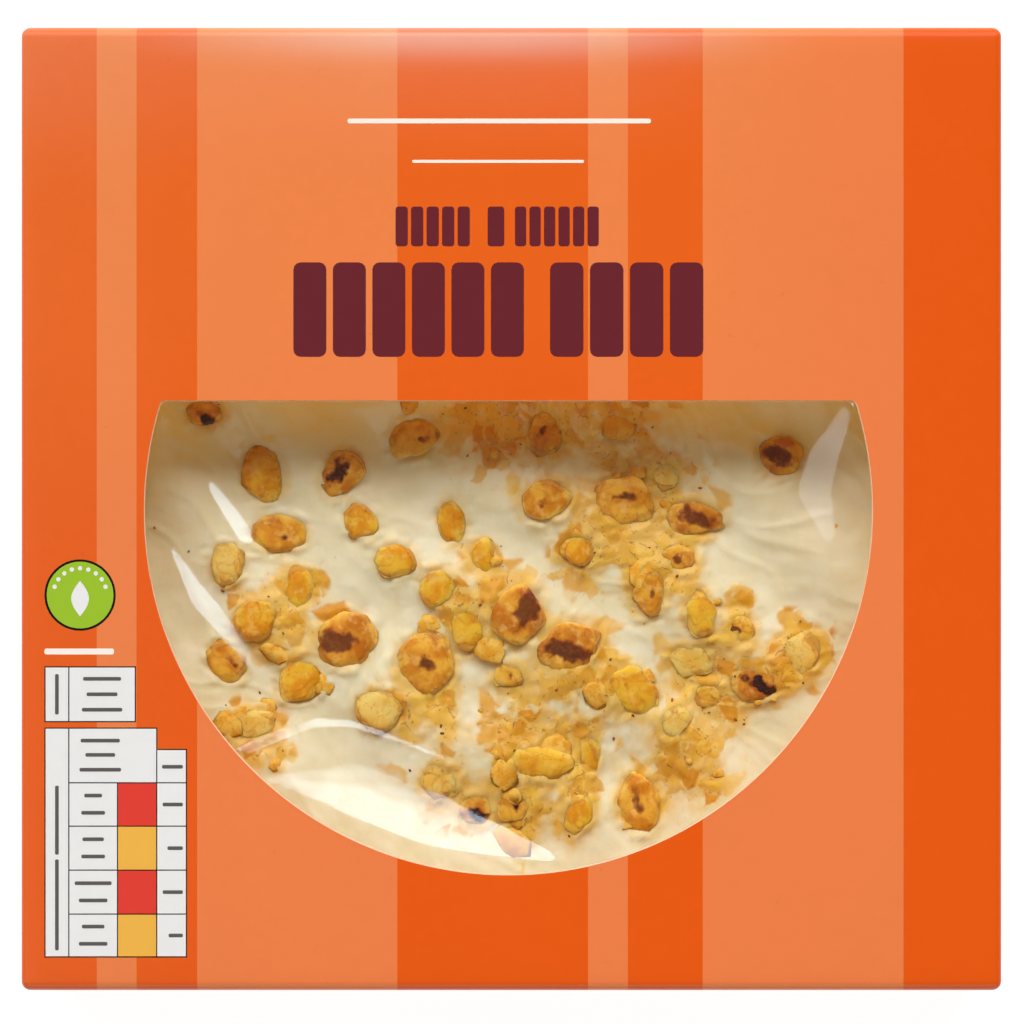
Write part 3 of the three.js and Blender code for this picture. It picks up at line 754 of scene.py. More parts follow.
def film_surface(root, place):
    """Clear, with the reflection of both of its faces, which grows towards a grazing view."""
    grazing = root.node("ShaderNodeLayerWeight", inputs={"Blend": 0.5}, out="Facing")
    share = root.math("POWER", grazing, 5.0) * 0.94 + 0.06
    clear = root.node("ShaderNodeBsdfTransparent", inputs={"Color": (1, 1, 1, 1)})
    shine = root.node("ShaderNodeBsdfGlossy", inputs={"Color": (1, 1, 1, 1), "Roughness": 0.13})
    return root.node("ShaderNodeMixShader", inputs={0: share, 1: clear, 2: shine})


def film_back_surface(root, place):
    """Clear alone, because the front face already has both reflections."""
    return root.node("ShaderNodeBsdfTransparent", inputs={"Color": (0.985, 0.985, 0.98, 1)})


FILM = finish("clear_film", film_surface)
FILM_BACK = finish("clear_film_back", film_back_surface)
film.piece("window_film_sheet", [FILM, FILM_BACK], "clear_film", ["window_film"], 60)


# ---- Sponge -----------------------------------------------------------------------------------
# The baked cake itself, an open crumb browned on its crust. It stands on the carton's base panel,
# and only its side and rim are free of the topping.

sponge_low, sponge_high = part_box("sponge")
SPONGE_RADIUS = min(sponge_high.x, sponge_high.y) / MM - 0.5
SPONGE_FOOT, SPONGE_TOP = sponge_low.z / MM, sponge_high.z / MM
SPONGE_EDGE = 5.0  # radius of its rounded edges
SPONGE_FLAT = SPONGE_RADIUS - 30  # where its flat foot and top begin
SPONGE_SECTORS, SIDE_RINGS = 220, 20
PIT_SIZE, PIT_DEPTH = 3, 0.3


def sponge_surface(root, place):
    coarse, fine = place.noise(6.0, 4.0), place.noise(1.1, 3.0)
    color = coarse.rise(0.35, 0.7).mix(srgb(142, 84, 38), srgb(186, 120, 60))
    color = fine.rise(0.55, 0.75).mix(color, srgb(104, 56, 24))
    return root.skin(color, 0.9, (fine + coarse, 0.7, 0.5))


sponge = Shell()
bend = np.linspace(0, math.pi / 2, 7)
less_sin = [SPONGE_EDGE * (1 - math.sin(a)) for a in bend]
less_cos = [SPONGE_EDGE * (1 - math.cos(a)) for a in bend]
profile = [(SPONGE_FLAT, SPONGE_FOOT)]
profile += [(SPONGE_RADIUS - s, SPONGE_FOOT + c) for s, c in zip(less_sin, less_cos)]
profile += [(SPONGE_RADIUS, z) for z in np.linspace(SPONGE_FOOT + 6, SPONGE_TOP - 6, SIDE_RINGS)]
profile += [(SPONGE_RADIUS - c, SPONGE_TOP - s) for s, c in zip(less_sin, less_cos)]
profile += [(SPONGE_FLAT, SPONGE_TOP)]
sponge_rings = []
for radius, z in profile:
    ring = []
    for x, y in arc(0, 0, radius, 0, 2 * math.pi, SPONGE_SECTORS, range(SPONGE_SECTORS)):
        pitted = noise.fractal(Vector((x / PIT_SIZE, y / PIT_SIZE, z / PIT_SIZE)), 0.9, 2.0, 3)
        grow = 0 if z in (SPONGE_FOOT, SPONGE_TOP) else PIT_DEPTH * min(pitted, 0.6)
        ring.append((x * (1 + grow / radius), y * (1 + grow / radius), z))
    sponge_rings.append(sponge.add(ring))
sponge.bands(sponge_rings)
sponge.face(sponge_rings[0])
sponge.face(sponge_rings[-1])
sponge.piece("sponge_body", [finish("sponge_crumb", sponge_surface)], "sponge", ["sponge"])


# ---- Walnut pieces ----------------------------------------------------------------------------
# Chopped, toasted kernels scattered on the cream: lobed lumps with broken faces, brown along
# their ridges, some with a patch of papery dark skin. Each takes its form from its solid.

SETTLE, SINK = 0.5, 0.8  # how deep a piece is pressed into the cream, and how much deeper its foot is
FLATNESS = 0.58  # what is left of a piece's height where it has bedded in
CUTS_ROUND = 6  # broken faces round a piece
LOBE_SIZE, GRAIN_SIZE, RAGGED_SIZE = 3.4, 1.3, 2.0  # in millimetres
SKIN_HALF = (0.72, 0.38)  # the patch of skin, as shares of the piece
nut_names = sorted(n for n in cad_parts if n.startswith("walnut_"))
nut_random = np.random.default_rng(12)


def soft_excess(value, sharpness):
    """How far a value is over 0, rounded where it passes it."""
    return np.log1p(np.exp(value * sharpness)) / sharpness


def chopped(local):
    """Points of a lump, cut back to a few random planes round it, two across its top, and a lens."""
    turn = nut_random.uniform(0, 2 * math.pi)
    cuts = []
    for _ in range(CUTS_ROUND):
        turn += 2 * math.pi / CUTS_ROUND + nut_random.normal() * 0.28
        lean = nut_random.uniform(0.0, 0.5)
        cuts.append(((math.cos(turn), math.sin(turn), lean), nut_random.uniform(0.66, 0.9)))
    for tilt in (1, -1):
        lean_x = tilt * nut_random.uniform(0.05, 0.35) * math.cos(turn)
        lean_y = tilt * nut_random.uniform(0.05, 0.35) * math.sin(turn)
        cuts.append(((lean_x, lean_y, 1.0), nut_random.uniform(0.42, 0.6)))
    for normal, limit in cuts:
        direction = np.array(normal) / np.linalg.norm(normal)
        local = local - 0.92 * soft_excess(local @ direction - limit, 12)[:, None] * direction
    local = local * (1.2, 1.2, 1.0)
    lens = 0.85 * (1 - (np.hypot(local[:, 0], local[:, 1]) / 1.02) ** 2)
    over = soft_excess(np.clip(local[:, 2] - np.maximum(lens, 0), -1, 2), 14)
    local[:, 2] -= np.where(local[:, 2] > 0, over, 0) * ease(0.0, 0.15, local[:, 2])
    return local


def refined(node):
    """A solid's mesh, merged and rounded by subdivision: points in millimetres, faces."""
    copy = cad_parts[node].data.copy()
    build = bmesh.new()
    build.from_mesh(copy)
    bmesh.ops.remove_doubles(build, verts=build.verts, dist=0.01 * MM)
    levels = 2 if len(build.faces) > 160 else 3
    build.to_mesh(copy)
    build.free()
    holder = new_object("holder", copy)
    rounding = holder.modifiers.new("rounding", "SUBSURF")
    rounding.levels = rounding.render_levels = levels
    evaluated = holder.evaluated_get(bpy.context.evaluated_depsgraph_get())
    mesh = bpy.data.meshes.new_from_object(evaluated)
    points = np.zeros(len(mesh.vertices) * 3)
    mesh.vertices.foreach_get("co", points)
    faces = [tuple(p.vertices) for p in mesh.polygons]
    bpy.data.objects.remove(holder)
    bpy.data.meshes.remove(copy)
    bpy.data.meshes.remove(mesh)
    return points.reshape(-1, 3) / MM, faces


def lumpy(points, size, seed, octaves, roughness=0.9):
    """Fractal noise at each point, with lumps of a size in millimetres."""
    return np.array([noise.fractal(Vector(p / size + seed), roughness, 2.0, octaves) for p in points])


def shaped_nut(node):
    """A piece with creases and pits; how creased, how near its foot and how skinned each point is."""
    points, faces = refined(node)
    low, high = points.min(0), points.max(0)
    middle, half = (low + high) / 2, (high - low) / 2
    middle[2] = low[2] + 0.3 * (high[2] - low[2])
    half[2] = high[2] - middle[2]
    local = chopped((points - middle) / half)
    points = middle + local * half
    outward = local / np.maximum(np.linalg.norm(local, axis=1), 0.2)[:, None]
    seed = nut_random.uniform(0, 50, 3)
    lobes = np.array([noise.noise(Vector(p / LOBE_SIZE + seed)) for p in points])
    grain = lumpy(points, GRAIN_SIZE, seed, 3)
    crease = 1 - ease(0.0, 0.05, np.abs(lobes))
    swell = 0.55 * lobes - 0.16 * crease + 0.14 * grain
    points += outward * swell[:, None] * (1.0, 1.0, 0.6)
    points[:, 2] = low[2] + FLATNESS * (points[:, 2] - low[2])
    points[:, 2] -= SETTLE + SINK * (1 - ease(-0.3, 0.1, local[:, 2]))
    foot = 1 - (points[:, 2] - low[2]) / (points[:, 2].max() - low[2])
    turn = nut_random.uniform(0, math.pi)
    across, along = nut_random.normal(size=2) * 0.22
    along = (local[:, 0] * math.cos(turn) + local[:, 1] * math.sin(turn) - along) / SKIN_HALF[0]
    across = (local[:, 1] * math.cos(turn) - local[:, 0] * math.sin(turn) - across) / SKIN_HALF[1]
    skin = 1 - np.hypot(along, across) + 0.6 * lumpy(points, RAGGED_SIZE, seed[::-1], 4, 0.8)
    return points, faces, crease, foot, skin


# The colours of each kind, and how much skin it has: the less, the higher the number.
NO_SKIN = 9.0
NUT_LOOKS = {
    "gold": {"flesh": srgb(241, 188, 52), "deep": srgb(227, 153, 16), "skin_from": NO_SKIN},
    "pale": {"flesh": srgb(244, 207, 118), "deep": srgb(238, 186, 80), "skin_from": NO_SKIN},
    "toasted": {"flesh": srgb(240, 182, 64), "deep": srgb(215, 138, 20), "skin_from": 0.74},
    "dark": {"flesh": srgb(231, 168, 54), "deep": srgb(200, 118, 16), "skin_from": 0.08},
}
# The second colour is painted light: the paler foot of each piece, against its shade.
PALE_PATCH, FOOT_PAINTED_LIGHT = srgb(248, 208, 124), srgb(252, 202, 104)
TOASTED_EDGE = srgb(174, 100, 16)
SKIN_CORE, SKIN_EDGE = srgb(52, 18, 16), srgb(142, 58, 18)
NUT_GLOW = {
    "Specular IOR Level": 0.3,
    "Subsurface Weight": 0.8,
    "Subsurface Radius": (1.0, 0.97, 0.9),
    "Subsurface Scale": 2.4 * MM,
}


def nut_finish(name, look):
    def surface(root, place):
        crease, foot, skin = root.mark("crease"), root.mark("foot"), root.mark("skin")
        lumps, grain, specks = place.noise(3.0, 3.0), place.noise(0.7, 4.0), place.noise(0.5, 2.0)
        color = lumps.rise(0.35, 0.65).mix(look["flesh"], look["deep"])
        color = (place.noise(1.8, 3.0).rise(0.52, 0.68) * 0.4).mix(color, PALE_PATCH)
        # Painted light: each piece is paler towards its foot, against the shade where it meets the cream.
        color = (foot.rise(0.4, 0.75) * 0.5).mix(color, FOOT_PAINTED_LIGHT)
        rim_browned = (foot + 0.6 * grain).rise(0.66, 0.76) * lumps.rise(0.44, 0.58)
        vein = 1.0 - root.math("ABSOLUTE", place.noise(4.2, 3.0) - 0.5).rise(0.0, 0.016)
        vein = vein * specks.rise(0.45, 0.6)
        color = (rim_browned * 0.4 + vein * 0.4 + crease * 0.3).mix(color, TOASTED_EDGE)
        papery, skin_from = skin + grain * 0.3 - 0.15, look["skin_from"]
        color = (papery.rise(skin_from - 0.3, skin_from + 0.1) * 0.8).mix(color, SKIN_EDGE)
        burnt = place.noise(26.0, 0.0).rise(0.4, 0.6) * 0.5 + 0.5
        burnt = burnt * (0.55 + 0.45 * grain.rise(0.3, 0.55))
        color = (papery.rise(skin_from, skin_from + 0.26) * burnt).mix(color, SKIN_CORE)
        return root.skin(color, 0.34 + 0.2 * grain, (grain + lumps, 0.3, 0.15), NUT_GLOW)

    return finish(name, surface)


for kind, look in NUT_LOOKS.items():
    members = [n for n in nut_names if n.startswith(f"walnut_{kind}_")]
    nuts, marks = Shell(), {"crease": [], "foot": [], "skin": []}
    for node in members:
        points, faces, *values = shaped_nut(node)
        ids = nuts.add(points)
        for face in faces:
            nuts.face([ids[i] for i in face])
        for mark, value in zip(marks.values(), values):
            mark.append(value)
    nut_look = nut_finish(f"walnut_{kind}", look)
    pieces = nuts.piece(f"walnuts_{kind}", [nut_look], f"walnut_{kind}", members, 50)
    for mark, values in marks.items():
        attribute = pieces.data.attributes.new(mark, "FLOAT", "POINT")
        attribute.data.foreach_set("value", np.concatenate(values))


# ---- Cream topping ----------------------------------------------------------------------------
# Whipped cream cheese spread over the sponge and round its rim in long diagonal strokes of a
# palette knife. It rises a little round each piece of walnut, and is stained amber beside them.

CREAM_TOP, CREAM_RADIUS, CREAM_EDGE = 36.4, 75.0, 5.0
CREAM_CELLS, EDGE_RINGS = 250, 9  # cells across the topping, and rings down its rounded edge
CREAM_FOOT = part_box("cream_topping")[0].z / MM
STROKES = {"turn": 0.87, "spacing": 21, "depth": 0.75, "bend": 3.4, "ripple": 0.35}
LEAST_SIDE = 1.5  # height of the cream's side where its edge has rounded
CREST, RIDGES, SOFT_LUMPS = 0.24, 0.08, 0.24  # heights of the knife's marks
cos_turn, sin_turn = math.cos(STROKES["turn"]), math.sin(STROKES["turn"])


def cream_height(x, y):
    """Height of the spread cream before its fine marks."""
    across, along = x * cos_turn + y * sin_turn, y * cos_turn - x * sin_turn
    bend = STROKES["bend"] * np.sin(along / 16 + 0.8) + 1.6 * np.sin(along / 7.3 + across / 23)
    stroke = STROKES["depth"] * np.sin(2 * math.pi * (across + bend) / STROKES["spacing"])
    ripple = STROKES["ripple"] * np.sin(x / 5.1 + 1.3 * np.sin(y / 8.7)) * np.sin(y / 6.3 + 0.7)
    return CREAM_TOP + stroke + ripple


def cream_reach(turn):
    """How far out the topping's side stands, in a direction."""
    return CREAM_RADIUS + 0.7 * np.sin(3 * turn + 1) + 0.5 * np.sin(7 * turn) - 0.6


def cream_marks(x, y):
    """Crests that the knife leaves along its strokes, finer ridges between them, and soft lumps."""
    across, along = x * cos_turn + y * sin_turn, y * cos_turn - x * sin_turn
    wander = noise.noise(Vector((x / 16, y / 16, 6.0)))
    crest = 1 - min(1, 4.5 * abs(noise.noise(Vector((across / 9 + wander, along / 34, 2.0)))))
    ridges = noise.fractal(Vector((across / 2.4 + 2 * wander, along / 17, 3.0)), 0.9, 2.0, 3)
    lumps = noise.fractal(Vector((x / 6, y / 6, 8.0)), 0.9, 2.0, 3)
    return CREST * crest * crest + RIDGES * ridges + SOFT_LUMPS * lumps


# Each piece of walnut as an ellipse, from its solid: place, axes and half lengths.
ellipses = []
for node in nut_names:
    flat = np.array([v.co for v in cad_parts[node].data.vertices])[:, :2] / MM
    centre = (flat.min(0) + flat.max(0)) / 2
    _, axes = np.linalg.eigh(np.cov((flat - centre).T))
    lengths = [np.abs((flat - centre) @ axes[:, k]).max() for k in range(2)]
    ellipses.append((centre, axes, lengths))


def near_nuts(x, y):
    """Distance, in millimetres, from each point to the rim of the nearest piece of walnut."""
    nearest = np.full(x.shape, 99.0)
    for centre, axes, lengths in ellipses:
        dx, dy = x - centre[0], y - centre[1]
        u = dx * axes[0, 0] + dy * axes[1, 0]
        v = dx * axes[0, 1] + dy * axes[1, 1]
        share = np.hypot(u / lengths[0], v / lengths[1])
        nearest = np.minimum(nearest, (share - 1) * np.hypot(u, v) / np.maximum(share, 0.3))
    return nearest


# A square grid drawn out into a disc, so that the cells are alike all over the topping.
side = np.linspace(-1, 1, CREAM_CELLS + 1)
square_x, square_y = np.meshgrid(side, side)
with np.errstate(divide="ignore", invalid="ignore"):
    wide = np.abs(square_x) >= np.abs(square_y)
    disc_radius = np.where(wide, square_x, square_y)
    lean_x, lean_y = math.pi / 4 * square_y / square_x, math.pi / 2 - math.pi / 4 * square_x / square_y
    disc_turn = np.nan_to_num(np.where(wide, lean_x, lean_y))
unit_x, unit_y = disc_radius * np.cos(disc_turn), disc_radius * np.sin(disc_turn)
flat_reach = cream_reach(np.arctan2(unit_y, unit_x)) - CREAM_EDGE
cream_x, cream_y = unit_x * flat_reach, unit_y * flat_reach


def over_cream(values):
    """Values worked out point by point, as a grid over the topping."""
    return np.array(list(values)).reshape(cream_x.shape)


def lumps_over(size, seed):
    """Lumpy noise over the topping, about -1 to 1, with lumps of a size in millimetres."""
    places = zip(cream_x.ravel(), cream_y.ravel())
    return over_cream(noise.fractal(Vector((x / size, y / size, seed)), 0.9, 2.0, 3) for x, y in places)


# Where chopped walnut lies in a heap, and has stained the cream: place and reach.
HEAPS = (
    (-5.2, -16.2, 7.6), (-38.9, -17.4, 7.1), (-15.3, -33.9, 7.1), (13.4, -7.3, 5.7), (24.3, 1.9, 8.1),
    (25.5, -10.6, 5.7), (13.4, -30.5, 7.8), (35.6, -29.2, 8.4), (4.9, -47.4, 9.8), (29.9, -44.4, 7.1),
    (-11.6, -49.1, 4.4), (49.1, -24.6, 5.7), (-1.0, 15.4, 9.8), (17.1, 13.7, 7.8), (-51.6, 17.7, 3.0),
    (-43.7, -37.6, 4.7), (-41.5, -42.0, 3.2), (39.0, -15.7, 2.4), (1.6, -35.9, 6.7), (2.0, 34.0, 12.0),
    (-22.0, 44.0, 9.0), (27.0, 47.0, 9.0),
)  # fmt: skip
marks = over_cream(cream_marks(x, y) for x, y in zip(cream_x.ravel(), cream_y.ravel()))
smear, rough, kneading = lumps_over(4.5, 11.0), lumps_over(1.6, 5.0), lumps_over(2.6, 21.0)
heaped = sum(1.1 * np.exp(-(((cream_x - x) ** 2 + (cream_y - y) ** 2) / r**2)) for x, y, r in HEAPS)
heaped = np.clip(heaped, 0, 1)
distance = near_nuts(cream_x, cream_y)
stain = heaped * (0.95 + 0.9 * smear) + 0.45 * np.exp(-np.maximum(distance, 0) / 1.3)
meniscus = 0.35 * np.exp(-np.abs(distance) / 0.8)
kneaded = 0.6 * kneading * np.exp(-np.maximum(np.abs(distance) - 0.4, 0) / 0.8)
cream_z = cream_height(cream_x, cream_y) + marks + meniscus + kneaded + 0.4 * rough * heaped

topping = Shell()
top_ids = topping.sheet(cream_x, cream_y, cream_z)
edge_x, edge_y, edge_z = (np.array(rim(grid)) for grid in (cream_x, cream_y, cream_z))
edge_turn = np.arctan2(edge_y, edge_x)
loops = [rim(top_ids)]
for k in range(1, EDGE_RINGS + 1):
    lean = math.pi / 2 * k / EDGE_RINGS
    reach = cream_reach(edge_turn) - CREAM_EDGE + CREAM_EDGE * math.sin(lean)
    sag = (edge_z - CREAM_FOOT - LEAST_SIDE) * (1 - math.cos(lean))
    loops.append(topping.add(zip(reach * np.cos(edge_turn), reach * np.sin(edge_turn), edge_z - sag)))
foot = zip(cream_reach(edge_turn) - 0.8, edge_turn)
loops.append(topping.add((r * math.cos(t), r * math.sin(t), CREAM_FOOT) for r, t in foot))
topping.bands(loops)
topping.face(loops[-1])

CREAM_DEEP, CREAM_LIGHT, CREAM_STREAK = srgb(238, 226, 188), srgb(243, 233, 204), srgb(232, 210, 158)
AMBER, BURNT_SPECK = srgb(235, 181, 50), srgb(150, 78, 22)
FLAKE_LIGHT, FLAKE_DEEP = srgb(242, 196, 70), srgb(218, 146, 18)
FLAKES = ((5.2, 0.85), (2.8, 0.6))  # walnut bedded in the stained cream: size, and how much of it
CREAM_GLOW = {
    "Subsurface Weight": 0.4,
    "Subsurface Radius": (1.0, 0.7, 0.42),
    "Subsurface Scale": 3.0 * MM,
}


def cream_surface(root, place):
    """Off-white cream with faint streaks, amber stains, and flat flakes bedded in the stains."""
    stained, heap = root.mark("stain"), root.mark("heap")
    soft, fine = place.noise(9.0, 2.0), place.noise(0.8, 3.0)
    streaks = place.noise(3.2, 2.0, stretch=(1, 0.12, 1), turn=-STROKES["turn"])
    color = soft.rise(0.3, 0.7).mix(CREAM_DEEP, CREAM_LIGHT)
    color = (streaks.rise(0.5, 0.8) * 0.25).mix(color, CREAM_STREAK)
    cloud = (stained + 0.5 * place.noise(2.2, 3.0) - 0.25).rise(0.15, 0.9)
    color = (cloud * 0.8).mix(color, AMBER)
    wave = {"Vector": place, "Scale": 1 / (2.2 * MM), "Detail": 2.0}
    wander = root.node("ShaderNodeTexNoise", inputs=wave, out=1)
    warped = root.vector("MULTIPLY_ADD", wander, (1.5 * MM,) * 3, place)
    relief = fine * 0.25 + streaks * 0.5
    for size, cover in FLAKES:
        cells = {"Vector": warped, "Scale": 1 / (size * MM)}
        settings = {"voronoi_dimensions": "2D"}
        pick, tint, tall = root.node("ShaderNodeTexVoronoi", settings, cells, 1).parts()
        settings = {"voronoi_dimensions": "2D", "feature": "DISTANCE_TO_EDGE"}
        edge = root.node("ShaderNodeTexVoronoi", settings, cells)
        there = (heap * cover - pick).rise(0.0, 0.1)
        flake = there * edge.rise(0.0, 0.16)
        color = (flake * (0.55 + 0.4 * tint)).mix(color, tint.mix(FLAKE_LIGHT, FLAKE_DEEP))
        line = there * (1.0 - edge.rise(0.015, 0.06))
        line = line * place.noise(1.2).rise(0.52, 0.58) * heap.rise(0.3, 0.8)
        color = (line * 0.65).mix(color, TOASTED_EDGE)
        relief = relief + there * edge.rise(0.0, 0.4) * (0.3 + 0.5 * tall)
    speck = heap * place.noise(0.9, 2.0).rise(0.63, 0.72)
    color = (speck * 0.6).mix(color, BURNT_SPECK)
    return root.skin(color, 0.24 + 0.2 * fine, (relief, 0.55, 0.25), CREAM_GLOW)


CREAM = finish("cream_topping", cream_surface)
cream = topping.piece("cream_spread", [CREAM], "cream", ["cream_topping"], 70)
for name, grid in (("stain", stain), ("heap", heaped * (0.85 + 0.9 * smear))):
    values = np.zeros(len(cream.data.vertices))
    values[: grid.size] = np.clip(grid.ravel(), 0, 1.2)
    cream.data.attributes.new(name, "FLOAT", "POINT").data.foreach_set("value", values)


# ---- Crumbs -----------------------------------------------------------------------------------
# What the chopping leaves: small chips of kernel, and brown flecks and slivers of skin. They lie
# thickest round the larger pieces, half sunk in the cream.

CRUMB_REACH = 66  # no crumbs lie further out than this
CRUMB_INPUTS = {
    "Geometry": "NodeSocketGeometry",
    "Density": "NodeSocketFloat",
    "Seed": "NodeSocketInt",
    "Size": "NodeSocketFloat",
    "Flatness": "NodeSocketFloat",
    "Length": "NodeSocketFloat",
    "Ruggedness": "NodeSocketFloat",
    "Material": "NodeSocketMaterial",
}
LUMP = {"Vertices": 7, "Side Segments": 2, "Radius Top": 0.38, "Radius Bottom": 0.52, "Depth": 1.0}
TILT = 0.09  # how far a crumb leans, in radians
SMALLEST = 0.35  # the smallest crumb, as the root of its share of the largest
RUGGED = {"Scale": 1100.0, "Detail": 1.0}


def crumb_tree():
    """A Geometry Nodes tree that scatters lumps over a surface by its attribute crumbs."""
    tree = bpy.data.node_groups.new("crumb_scatter", "GeometryNodeTree")
    for name, kind in CRUMB_INPUTS.items():
        tree.interface.new_socket(name, in_out="INPUT", socket_type=kind)
    tree.interface.new_socket("Geometry", in_out="OUTPUT", socket_type="NodeSocketGeometry")
    root = Wire(tree)
    entry = root.node("NodeGroupInput").socket.node
    given = {s.name: Wire(tree, s) for s in entry.outputs if s.name}
    weight = root.node("GeometryNodeInputNamedAttribute", {"data_type": "FLOAT"}, {"Name": "crumbs"})
    points = root.node(
        "GeometryNodeDistributePointsOnFaces",
        {"distribute_method": "RANDOM"},
        {"Mesh": given["Geometry"], "Density": given["Density"] * weight, "Seed": given["Seed"]},
    )
    lump = root.node("GeometryNodeMeshCone", inputs=LUMP)
    spin = root.node(
        "FunctionNodeRandomValue",
        {"data_type": "FLOAT_VECTOR"},
        {0: (-TILT, -TILT, 0.0), 1: (TILT, TILT, 2 * math.pi), "Seed": given["Seed"] + 3},
    )
    swell_range = {2: SMALLEST, 3: 1.0, "Seed": given["Seed"] + 5}
    swell = root.node("FunctionNodeRandomValue", {"data_type": "FLOAT"}, swell_range, 1)
    size = given["Size"] * swell * swell
    lengths = {0: size * given["Length"], 1: size, 2: size * given["Flatness"]}
    form = root.node("ShaderNodeCombineXYZ", inputs=lengths)
    placed = root.node(
        "GeometryNodeInstanceOnPoints",
        inputs={"Points": points, "Instance": lump, "Rotation": spin, "Scale": form},
    )
    real = root.node("GeometryNodeRealizeInstances", inputs={"Geometry": placed})
    place = root.node("GeometryNodeInputPosition")
    lumps = {"Vector": place, **RUGGED}
    rugged = root.node("ShaderNodeTexNoise", {"noise_dimensions": "3D"}, lumps, 1)
    centred = root.vector("SUBTRACT", rugged, (0.5, 0.5, 0.5))
    flatter = root.vector("MULTIPLY", centred, (1, 1, 0.2))
    push = root.node(
        "ShaderNodeVectorMath",
        {"operation": "SCALE"},
        {0: flatter, "Scale": given["Size"] * given["Ruggedness"] * 2.0},
    )
    shaped = root.node("GeometryNodeSetPosition", inputs={"Geometry": real, "Offset": push})
    smooth = root.node("GeometryNodeSetShadeSmooth", inputs={"Geometry": shaped})
    coated = {"Geometry": smooth, "Material": given["Material"]}
    done = root.node("GeometryNodeSetMaterial", inputs=coated)
    root.node("NodeGroupOutput", inputs={"Geometry": done})
    return tree


# The cream's top as a mesh of its own, with how thickly the crumbs lie on it.
CRUMB_TREE = crumb_tree()
density = np.clip(heaped * (0.8 + 1.2 * smear) + 0.03, 0, 1) * (np.hypot(cream_x, cream_y) < CRUMB_REACH)
field_points = [Vector(p) * MM for p in topping.points[: cream_x.size]]
crumb_field = bpy.data.meshes.new("crumb_field")
crumb_field.from_pydata(field_points, [], topping.faces[: CREAM_CELLS**2])
crumb_field.attributes.new("crumbs", "FLOAT", "POINT").data.foreach_set("value", density.ravel())


def scatter_crumbs(name, material, slot, **sizes):
    """One kind of crumb, scattered and turned into a plain mesh."""
    holder = new_object(name, crumb_field.copy())
    scatter = holder.modifiers.new("scatter", "NODES")
    scatter.node_group = CRUMB_TREE
    wanted = {**sizes, "Material": material}
    for item in CRUMB_TREE.interface.items_tree:
        if item.in_out == "INPUT" and item.name in wanted:
            scatter[item.identifier] = wanted[item.name]
    evaluated = holder.evaluated_get(bpy.context.evaluated_depsgraph_get())
    mesh = bpy.data.meshes.new_from_object(evaluated)
    holder.modifiers.remove(scatter)
    holder.data = mesh
    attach(holder, "root")


def crumb_finish(name, pale, brown):
    def surface(root, place):
        lumps, fine = place.noise(1.6, 2.0), place.noise(0.4, 3.0)
        color = lumps.rise(0.35, 0.68).mix(pale, brown)
        color = (fine.rise(0.6, 0.75) * 0.5).mix(color, srgb(110, 56, 20))
        return root.skin(color, 0.5 + 0.2 * fine, more={"Specular IOR Level": 0.28})

    return finish(name, surface)


CHIP = crumb_finish("kernel_chip", srgb(238, 190, 84), srgb(228, 158, 40))
FLECK = crumb_finish("skin_fleck", srgb(176, 104, 36), srgb(120, 62, 22))
scatter_crumbs(
    "crumbs_chips", CHIP, "walnut_pale",
    Density=10000.0, Seed=4, Size=5.6 * MM, Flatness=0.07, Length=1.25, Ruggedness=0.22,
)  # fmt: skip
scatter_crumbs(
    "crumbs_bits", CHIP, "walnut_gold",
    Density=9000.0, Seed=8, Size=1.8 * MM, Flatness=0.14, Length=1.3, Ruggedness=0.35,
)  # fmt: skip
scatter_crumbs(
    "crumbs_flecks", FLECK, "walnut_toasted",
    Density=40000.0, Seed=15, Size=0.5 * MM, Flatness=0.4, Length=1.6, Ruggedness=0.3,
)  # fmt: skip


# ---- Floor, lights and camera -----------------------------------------------------------------
# A pale sweep under the pack, a broad key lamp beyond the window's straight side, a warm fill
# opposite, small lamps for the film's folds, and the camera straight above the window.

FLOOR_HALF = 3.0  # in metres
floor_mesh = bpy.data.meshes.new("floor")
floor_mesh.from_pydata([(FLOOR_HALF * x, FLOOR_HALF * y, 0) for x, y in QUARTERS], [], [(0, 1, 2, 3)])
floor = new_object("floor", floor_mesh)


def floor_surface(root, place):
    glow = {"Specular IOR Level": 0.0, "Emission Color": (1, 1, 1, 1), "Emission Strength": 0.95}
    return root.skin((0.16, 0.16, 0.16, 1), 0.8, more=glow)


floor.data.materials.append(finish("pale_floor", floor_surface))

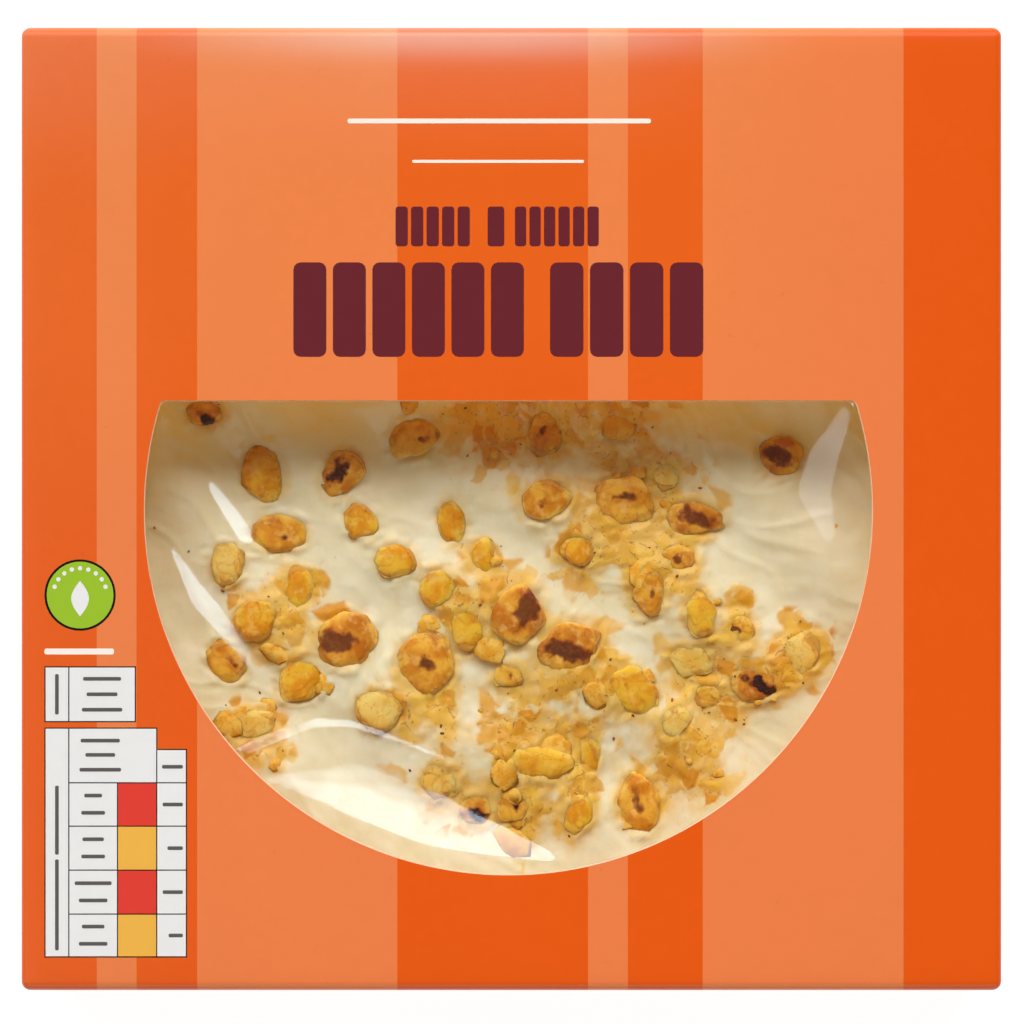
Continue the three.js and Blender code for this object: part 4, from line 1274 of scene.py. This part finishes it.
LIGHT_DISTANCE = 7.0  # in metres
KEY = (97, 46.5, 12.0, 3.0)  # degrees round from +X and off the upright, and its two sides in metres
FILL = (275, 62, 6.0, 4.0)
WARM, COOL = (1.0, 0.88, 0.66), (0.64, 0.84, 1.0)
SPARK_SIDE = 1.06


def softbox(name, turn, off, wide, tall, radiance, color=(1, 1, 1)):
    """A lamp turned to the window, by its direction, its size in metres and how bright it looks."""
    lamp = bpy.data.lights.new(name + "_light", "AREA")
    lamp.shape = "RECTANGLE"
    lamp.size, lamp.size_y = wide, tall
    lamp.energy = radiance * math.pi * wide * tall
    lamp.color = color
    holder = new_object(name + "_light", lamp)
    direction = towards(turn, off)
    holder.location = Vector((0, 0, HEIGHT * MM)) + direction * LIGHT_DISTANCE
    holder.rotation_euler = direction.to_track_quat("Z", "Y").to_euler()
    holder.visible_camera = False
    return holder


softbox("key", *KEY, 7.4).visible_glossy = False
softbox("gleam", *KEY, 2.2).visible_diffuse = False
softbox("fill", *FILL, 1.5, WARM)
for name, (turn, off, radiance) in SPARKS.items():
    softbox(name, turn, off, SPARK_SIDE, SPARK_SIDE, radiance, COOL).visible_diffuse = False

WALLS_FROM, WALLS_TO = (0.5, 0.48, 0.42, 1), (0.07, 0.065, 0.05, 1)  # the room, level and overhead
world = bpy.data.worlds.new("studio")
world.use_nodes = True
world.node_tree.nodes.clear()
room = Wire(world.node_tree)
upward = room.node("ShaderNodeTexCoord", out="Generated").parts()[2]
walls = upward.rise(0.05, 0.8).mix(WALLS_FROM, WALLS_TO)
room_light = room.node("ShaderNodeBackground", inputs={"Color": walls, "Strength": 1.0})
room.node("ShaderNodeOutputWorld", inputs={"Surface": room_light})
bpy.context.scene.world = world
bpy.context.scene.view_settings.view_transform = "Standard"

FRAME_WIDTH = 172.35  # what the camera takes in at the top panel, in millimetres
SENSOR = 36.0
camera_data = bpy.data.cameras.new("camera")
camera_data.sensor_width = SENSOR
camera_data.lens = SENSOR * CAMERA_HEIGHT / FRAME_WIDTH
camera = new_object("camera", camera_data)
camera.location = eye * MM
bpy.context.scene.camera = camera
